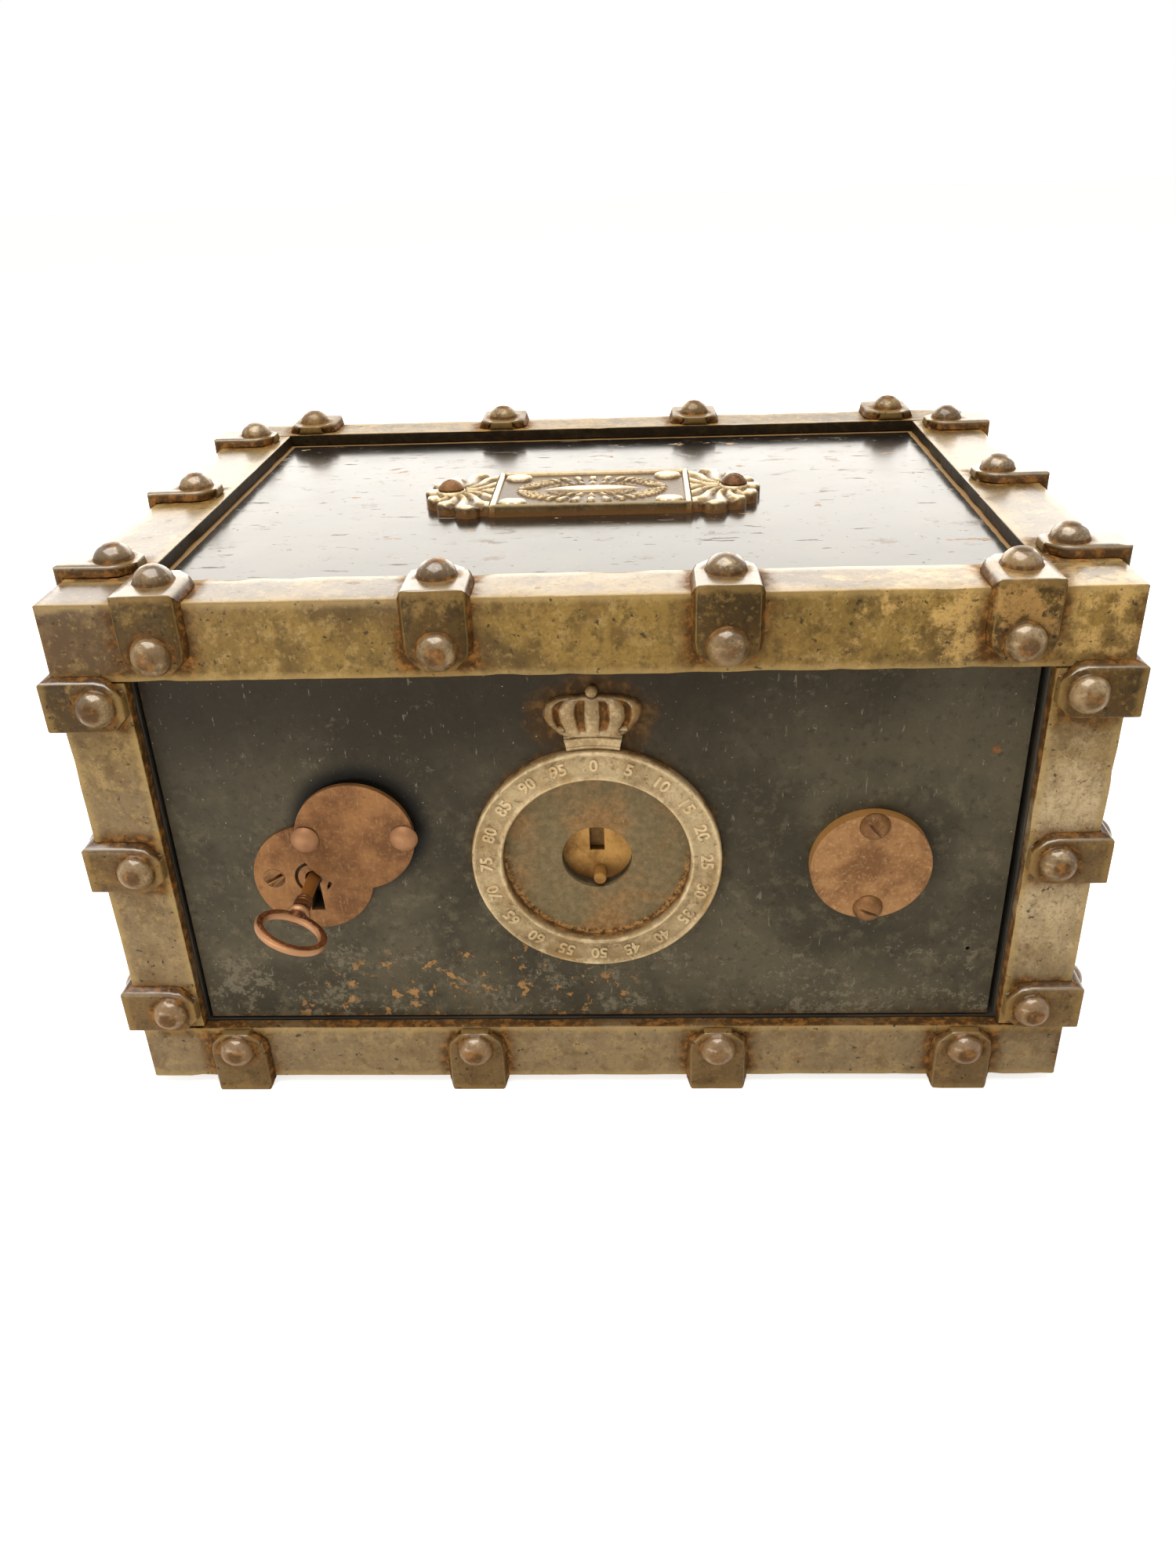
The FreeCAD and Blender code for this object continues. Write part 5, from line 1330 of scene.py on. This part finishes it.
# The rise of the backing, of the cushion and of its grooves, as shares of the crown's depth
BACKING_RISE = 0.16
CUSHION_RISE = 0.8
GROOVE_RISE = 0.42
CROWN_RIM_HALF = 12.6
CROWN_RIM_WIDTH = 1.25
CROWN_RIM_LIFT = 0.6
CROWN_RIM_SAG = 1.6
CROWN_RIM_STEPS = 16
SCALLOP_SHARE = (0.74, 0.08)
SCALLOP_LENGTH = 4.2
BAND_HALF_TURN = 11.4
BAND_STEPS = 8
BAND_TOP = 6.4
# The band's mouldings: offset from the ring, half width, rise and fullness
BAND_MOULDINGS = ((3.2, 3.6, 2.9, 0.3), (1.3, 0.8, 3.5, 0.75), (4.8, 0.9, 3.7, 0.75))
MOULDING_FULL = 0.75
MOULDING_ROOT = -0.4
MOULDING_RUST = (0.3, 0.95)
MOULDING_WEAR = 0.35
MOULDING_CREST = (0.8, 1)
MOULDING_DENT_SIZE = 4
MOULDING_DENT_DEPTH = 0.35
BALL_RINGS = 8
BALL_CAP = 0.04
TUBE_SIDES = 16


def crown_half(up):
    """The crown's half width at a share of its height: narrow at its foot and round at its shoulders."""
    if up < CROWN_WIDEST:
        return CROWN_HALF - (CROWN_HALF - CROWN_FOOT_HALF) * (1 - up / CROWN_WIDEST) ** 2
    fallen = ((up - CROWN_WIDEST) / (1 - CROWN_WIDEST)) ** CROWN_SHOULDER
    return CROWN_HALF * (1 - fallen) ** (1 / CROWN_SHOULDER)


def crown_relief(across, up):
    """How full the cushion is, 0 to 1, and how far a point of it is out of the grooves between its lobes."""
    lobe = 0
    for inner, outer in CROWN_LOBES:
        share = abs(2 * abs(across) - inner - outer) / (outer - inner)
        lobe = max(lobe, math.sqrt(max(0, 1 - share ** CROWN_LOBE_SQUARE)))
    cut = smooth(up, *GROOVE_START) * (1 - smooth(up, *GROOVE_END))
    over = max(0, (up - CUSHION_TURN) / (1 - CUSHION_TURN))
    return math.sqrt(1 - across ** 4) * math.sqrt(1 - over ** 3), 1 - cut * (1 - lobe)


def half_round(shell, path, half, rises, full=MOULDING_FULL):
    """A raised moulding on the door along a path: half width, rise at each point, and how full its top is."""
    def spot(i, turn):
        ahead = (path[min(i + 1, len(path) - 1)] - path[max(i - 1, 0)]).normalized()
        share = max(0, math.sin(turn)) ** full
        lift = rises[i] * share if share else MOULDING_ROOT
        place = path[i] + ahead.cross(OUT) * half * math.cos(turn) + OUT * lift
        place -= OUT * MOULDING_DENT_DEPTH * dent(place, MOULDING_DENT_SIZE) * share
        return Spot(place, 1 - smooth(share, *MOULDING_RUST), MOULDING_WEAR * smooth(share, *MOULDING_CREST))

    shell.loft(grid(range(len(path)), turns(TUBE_SIDES), spot))


def crown():
    """The crown over the ring: a band of mouldings, a rim, five lobes on a backing, and a ball."""
    low, high = box_of("crown")
    wall = high.y
    tall = high.y - low.y
    shell = Shell()
    ring_low, ring_high = box_of("dial_ring")
    ring_radius = (ring_high.z - ring_low.z) / 2
    band = [math.radians(BAND_HALF_TURN * share) for share in both_ways(2 * BAND_STEPS)]
    for offset, half, rise, full in BAND_MOULDINGS:
        radius = ring_radius + offset
        path = [Vector((HUB.x + radius * math.sin(t), wall, HUB.z + radius * math.cos(t))) for t in band]
        half_round(shell, path, half, [rise] * len(path), full)
    foot = HUB.z + ring_radius + BAND_TOP
    climb = high.z - BALL_CLEAR * CROWN_BALL - foot

    def spot(share, across):
        up = CROWN_TOP_ROW * share
        cushion, crest = crown_relief(across, up)
        place = Vector((HUB.x + across * crown_half(up), wall, foot + climb * up))
        full = CUSHION_RISE * cushion * (GROOVE_RISE + (1 - GROOVE_RISE) * crest)
        rise = tall * (BACKING_RISE + full) - CROWN_DENT_DEPTH * dent(place, CROWN_DENT_SIZE)
        rust = max(CROWN_RUST, CROWN_GROOVE_RUST * (1 - crest), 1 - smooth(rise, *CROWN_ROOT))
        return Spot(place + OUT * rise, rust, CROWN_WEAR * smooth(crest * cushion, *CROWN_CREST))

    shell.slab(grid(shares(CROWN_ROWS), both_ways(CROWN_COLUMNS), spot), wall, Y)
    rim = [CROWN_RIM_HALF * share for share in both_ways(2 * CROWN_RIM_STEPS)]
    rim_z = foot + CROWN_RIM_LIFT
    path = [Vector((HUB.x + x, wall, rim_z + CROWN_RIM_SAG * (x / CROWN_RIM_HALF) ** 2)) for x in rim]
    mean, swell = SCALLOP_SHARE
    scallops = [tall * (mean + swell * math.cos(FULL_TURN * x / SCALLOP_LENGTH)) for x in rim]
    half_round(shell, path, CROWN_RIM_WIDTH, scallops)
    ball(shell, Vector((HUB.x, wall - BALL_SEAT * CROWN_BALL, high.z - CROWN_BALL)), CROWN_BALL)
    shell.piece("cast_crown", "door", "ring_iron", ["crown"], crease=70)


def ball(shell, centre, radius):
    """A small ball, closed at its poles."""
    def spot(share, turn):
        tilt = math.pi * (BALL_CAP + (1 - 2 * BALL_CAP) * share)
        spoke = Vector((math.cos(turn), math.sin(turn), 0))
        return Spot(centre + (spoke * math.sin(tilt) + UP * math.cos(tilt)) * radius, BALL_RUST, BALL_WEAR)

    shell.loft(grid(shares(BALL_RINGS), turns(TUBE_SIDES), spot))


# The key

KEY_REST_TURN = 155
KEY_SIDES = 28
KEY_SHANK = 2.5
KEY_NECK = 2.75
KEY_TIP = 2.1
KEY_TIP_EASE = 0.6
# The collar and the stem: distance from the bow's root, and radius
KEY_COLLAR = ((-1.2, 2.2), (0.2, 3.4), (1.2, 4.3), (1.9, 4.6), (2.7, 4.4), (3.6, 3.7), (4.4, 3.3), (4.9, 2.9))
KEY_STEM = ((13, 2.45), (17, 2.5), (28, KEY_SHANK))
KEY_RINGS = 4
KEY_RING_START = 5.2
KEY_RING_STEP = 1.7
KEY_RING_WIDTH = 1.6
KEY_RING_BULGE = 3.35
KEY_RING_TAPER = 0.08
KEY_RING_ROWS = ((0.3, 0), (0.85, 0.15), (1.4, 0))
KEY_RUST = 0.9
KEY_RUST_FROM = 9
KEY_RUST_TO = 14
KEY_WORN = (3.1, 4.2)
BOW_HALF_LONG = 9.2
BOW_HALF_WIDE = 12
BOW_BAND = 1.9
BOW_EASE_OUT = 0.25
BOW_EASE_SIDE = 0.1
BOW_WORN = (0.9, 1.6)
BOW_SQUARE = 0.7
BOW_STEPS = 64
BOW_DENT_SIZE = 5
BOW_DENT_DEPTH = 0.05
BIT_LONG = 13
BIT_THICK = 3
BIT_DEEP = 7
BIT_WEAR = 0.3


def squared(share):
    """A share of a round section's radius, pushed out towards a square."""
    return math.copysign(abs(share) ** BOW_SQUARE, share)


def key_profile(root, tip):
    """Rows along the shank: a place and a radius. The collar comes first, then the rings and the stem."""
    profile = [(root + away, radius) for away, radius in KEY_COLLAR]
    for k in range(KEY_RINGS):
        start = root + KEY_RING_START + KEY_RING_STEP * k
        bulge = KEY_RING_BULGE - KEY_RING_TAPER * k
        profile.append((start, KEY_NECK))
        profile += [(start + away, bulge + more) for away, more in KEY_RING_ROWS]
        profile.append((start + KEY_RING_WIDTH, KEY_NECK))
    profile += [(root + away, radius) for away, radius in KEY_STEM]
    return profile + [(tip - KEY_TIP_EASE, KEY_SHANK), (tip, KEY_TIP)]


def key():
    """The key: a turned shank with rings and a flared collar, an oval bow and the bit inside the lock."""
    low, high = box_of("key")
    axis = middle_of("lock_barrel")
    tip = high.y
    root = low.y + BOW_BAND + 2 * BOW_HALF_LONG
    slant = Vector((math.cos(math.radians(KEY_REST_TURN)), 0, math.sin(math.radians(KEY_REST_TURN))))
    flat = slant.cross(OUT)
    bow = Vector((axis.x, low.y + BOW_BAND + BOW_HALF_LONG, axis.z))
    bit_half = flat * BIT_THICK / 2

    def shank_spot(row, turn):
        y, radius = row
        place = Vector((axis.x + radius * math.cos(turn), y, axis.z + radius * math.sin(turn)))
        rust = KEY_RUST * smooth(y, root + KEY_RUST_FROM, root + KEY_RUST_TO)
        return Spot(place, rust, smooth(radius, *KEY_WORN))

    def bow_spot(turn, round_turn):
        here = bow + slant * BOW_HALF_WIDE * math.cos(turn) - OUT * BOW_HALF_LONG * math.sin(turn)
        radial = slant * math.cos(turn) / BOW_HALF_WIDE - OUT * math.sin(turn) / BOW_HALF_LONG
        out = squared(math.cos(round_turn)) * (BOW_BAND - BOW_EASE_OUT)
        side = squared(math.sin(round_turn)) * (BOW_BAND - BOW_EASE_SIDE)
        offset = radial.normalized() * out + flat * side
        offset *= 1 - BOW_DENT_DEPTH * dent(here + offset, BOW_DENT_SIZE)
        return Spot(here + offset, 0, smooth(abs(out), *BOW_WORN))

    def bit_spot(y, corner):
        return Spot(Vector((axis.x, y, axis.z)) + corner, 0, BIT_WEAR)

    shell = Shell()
    shell.loft(grid(key_profile(root, tip), turns(KEY_SIDES), shank_spot))
    shell.loft(grid(turns(BOW_STEPS), turns(TUBE_SIDES), bow_spot), looped=True)
    corners = (bit_half, slant * BIT_LONG + bit_half, slant * BIT_LONG - bit_half, -bit_half)
    shell.loft(grid((tip - BIT_DEEP, tip), corners, bit_spot))
    shell.piece("brass_key", "key", "key_brass", ["key"], crease=42)


# Screws, turned so that their slots stand as they were left

SCREW_TURNS = {
    "blank_plate_screws": (Y, (20, 48), "door"),
    "escutcheon_screws": (Y, (-28, 64), "door"),
    "name_plate_screws": (Z, (35, -20), "case"),
    "pan_screws": (Y, (15, -40, 70, 100), "door"),
}
SCREW_CREASE = 30


def turned_screws(node, axis, angles, body):
    """The screws of a node, each turned on its own axis."""
    mesh = frame["nodes"][node].data.copy()
    mesh.name = "turned_" + node
    work = bmesh.new()
    work.from_mesh(mesh)
    for part, angle in zip(loose_parts(work), angles):
        low, high = span([vertex.co for vertex in part])
        spin = Matrix.Rotation(math.radians(angle), 3, "XYZ"[axis])
        bmesh.ops.rotate(work, verts=part, cent=(low + high) / 2, matrix=spin)
    shaded(mesh, work, SCREW_CREASE)
    dress(bpy.data.objects.new("turned_" + node, mesh), body, "screw_iron", [node])


# Nodes that keep their shape, with the width of their eased edges

SOFT_EDGES = {
    0.3: ("keyhole_escutcheon", "drive_hub", "cover_pivot", "cover_knob"),
    0.4: ("top_panel", "bottom_panel", "left_panel", "right_panel", "back_panel", "upper_bolt", "lower_bolt",
          "lock_bolt", "bolt_guides"),
    0.5: ("door_plate", "keyhole_cover"),
    0.6: ("door_stop", "inner_liner"),
    0.7: ("blank_plate", "drive_pin"),
    0.8: ("door_pan", "door_jamb"),
}
FLAT_ANGLE = 0.5
EASE_ANGLE = 40
EASE_SEGMENTS = 3


def modify(thing, name, kind, **settings):
    """Adds a modifier with these settings."""
    made = thing.modifiers.new(name, kind)
    for setting, value in settings.items():
        setattr(made, setting, value)


def kept_nodes():
    """Gives every node its finish, and eased edges to those that show."""
    for row in frame["record"]["subparts"]:
        thing = frame["nodes"][row["node"]]
        thing.data.materials.clear()
        thing.data.materials.append(FINISHES[row["material_slot"]])
    for width, nodes in SOFT_EDGES.items():
        for node in nodes:
            thing = frame["nodes"][node]
            modify(thing, "weld", "WELD", merge_threshold=WELD)
            modify(thing, "flats", "DECIMATE", decimate_type="DISSOLVE", angle_limit=math.radians(FLAT_ANGLE))
            modify(thing, "ease", "BEVEL", width=width * MM, segments=EASE_SEGMENTS, limit_method="ANGLE",
                   angle_limit=math.radians(EASE_ANGLE))
            modify(thing, "shade", "WEIGHTED_NORMAL")


# The stage

CAMERA_PLACE = (0.01966, -0.52975, 0.36100)
CAMERA_PITCH = 28.789
CAMERA_YAW = -2.810
CAMERA_ROLL = -2.079
CAMERA_NEAREST = 0.01
FOCAL_LENGTH = 28.07
SENSOR = 36
FLOOR_HALF = 6
FLOOR_TONE = (0.86, 0.85, 0.83, 1)
FLOOR_GLOW = (1, 0.99, 0.97, 1)
FLOOR_ROUGH = 0.7
FLOOR_GLOSS = 0.1
FLOOR_LIFT = 0.76
WORLD_LIGHT = 0.22


def seen_share(nodes):
    """1 for what the eye, a mirror or a glass sees directly, and 0 for light on its way to a surface."""
    path = nodes.node("ShaderNodeLightPath")
    return nodes.most(*(path.outputs["Is %s Ray" % kind] for kind in ("Camera", "Glossy", "Transmission")))


def world():
    """A white room: plain light on the object, white where it is seen."""
    room = bpy.data.worlds.new("room")
    bpy.context.scene.world = room
    room.use_nodes = True
    nodes = Nodes(room.node_tree)
    seen = nodes.tree.nodes["Background"]
    seen.inputs["Color"].default_value = (1, 1, 1, 1)
    nodes.feed(seen.inputs["Strength"], nodes.level(seen_share(nodes), WORLD_LIGHT, 1))


def floor():
    """A pale floor that keeps the shadow and is white where it is lit."""
    mesh = bpy.data.meshes.new("floor")
    corners = [(x * FLOOR_HALF, y * FLOOR_HALF, 0) for x, y in ((-1, -1), (1, -1), (1, 1), (-1, 1))]
    mesh.from_pydata(corners, [], [(0, 1, 2, 3)])
    thing = bpy.data.objects.new("floor", mesh)
    bpy.context.scene.collection.objects.link(thing)
    pale = Finish("floor_white", FLOOR_TONE)
    lift = pale.times(seen_share(pale), FLOOR_LIFT)
    mesh.materials.append(pale.done(FLOOR_ROUGH, Specular_IOR_Level=FLOOR_GLOSS,
                                    Emission_Color=FLOOR_GLOW, Emission_Strength=lift))


def lamp(name, place, target, width, height, power, colour=(1, 1, 1)):
    """A large soft lamp."""
    light = bpy.data.lights.new(name, "AREA")
    light.shape = "RECTANGLE"
    light.size = width
    light.size_y = height
    light.energy = power
    light.color = colour
    thing = bpy.data.objects.new(name, light)
    bpy.context.scene.collection.objects.link(thing)
    thing.location = place
    thing.rotation_euler = (Vector(target) - Vector(place)).to_track_quat("-Z", "Y").to_euler()
    thing.visible_camera = False


def camera():
    """The photograph's point of view."""
    turn = (Matrix.Rotation(math.radians(CAMERA_ROLL), 3, "Z")
            @ Matrix.Rotation(math.radians(CAMERA_PITCH), 3, "X")
            @ Matrix(((1, 0, 0), (0, 0, -1), (0, 1, 0)))
            @ Matrix.Rotation(math.radians(CAMERA_YAW), 3, "Z"))
    eye = bpy.data.cameras.new("camera")
    eye.sensor_width = SENSOR
    eye.lens = FOCAL_LENGTH
    eye.clip_start = CAMERA_NEAREST
    thing = bpy.data.objects.new("camera", eye)
    bpy.context.scene.collection.objects.link(thing)
    facing = Matrix((turn[0], -turn[1], -turn[2])).transposed()
    thing.matrix_world = Matrix.Translation(CAMERA_PLACE) @ facing.to_4x4()
    bpy.context.scene.camera = thing


strap_boxes = {node: [span(points) for points in islands(node)] for node in STRAP_AXES}
domes = rivet_places("dome_rivets", RIVET_HEIGHT)
flush = rivet_places("flush_rivets", 0)
kept_nodes()
bars([box for boxes in strap_boxes.values() for box in boxes])
straps(strap_boxes, domes + flush)
rivet_heads(domes)
name_plate()
dial_ring()
crown()
key()
for node, (axis, angles, body) in SCREW_TURNS.items():
    turned_screws(node, axis, angles, body)
world()
floor()
lamp("back_soft", place=(0, 1.7, 0.75), target=(0, 0, 0.15), width=3.2, height=1.3, power=33,
     colour=(1, 0.95, 0.86))
lamp("top_soft", place=(-0.2, -0.2, 1.6), target=(0, -0.05, 0.1), width=1.5, height=1.3, power=32)
lamp("front_low", place=(-0.45, -0.8, 0.03), target=(0, -0.14, 0.12), width=0.9, height=0.3, power=5)
camera()

bpy.context.scene.view_settings.view_transform = "Standard"
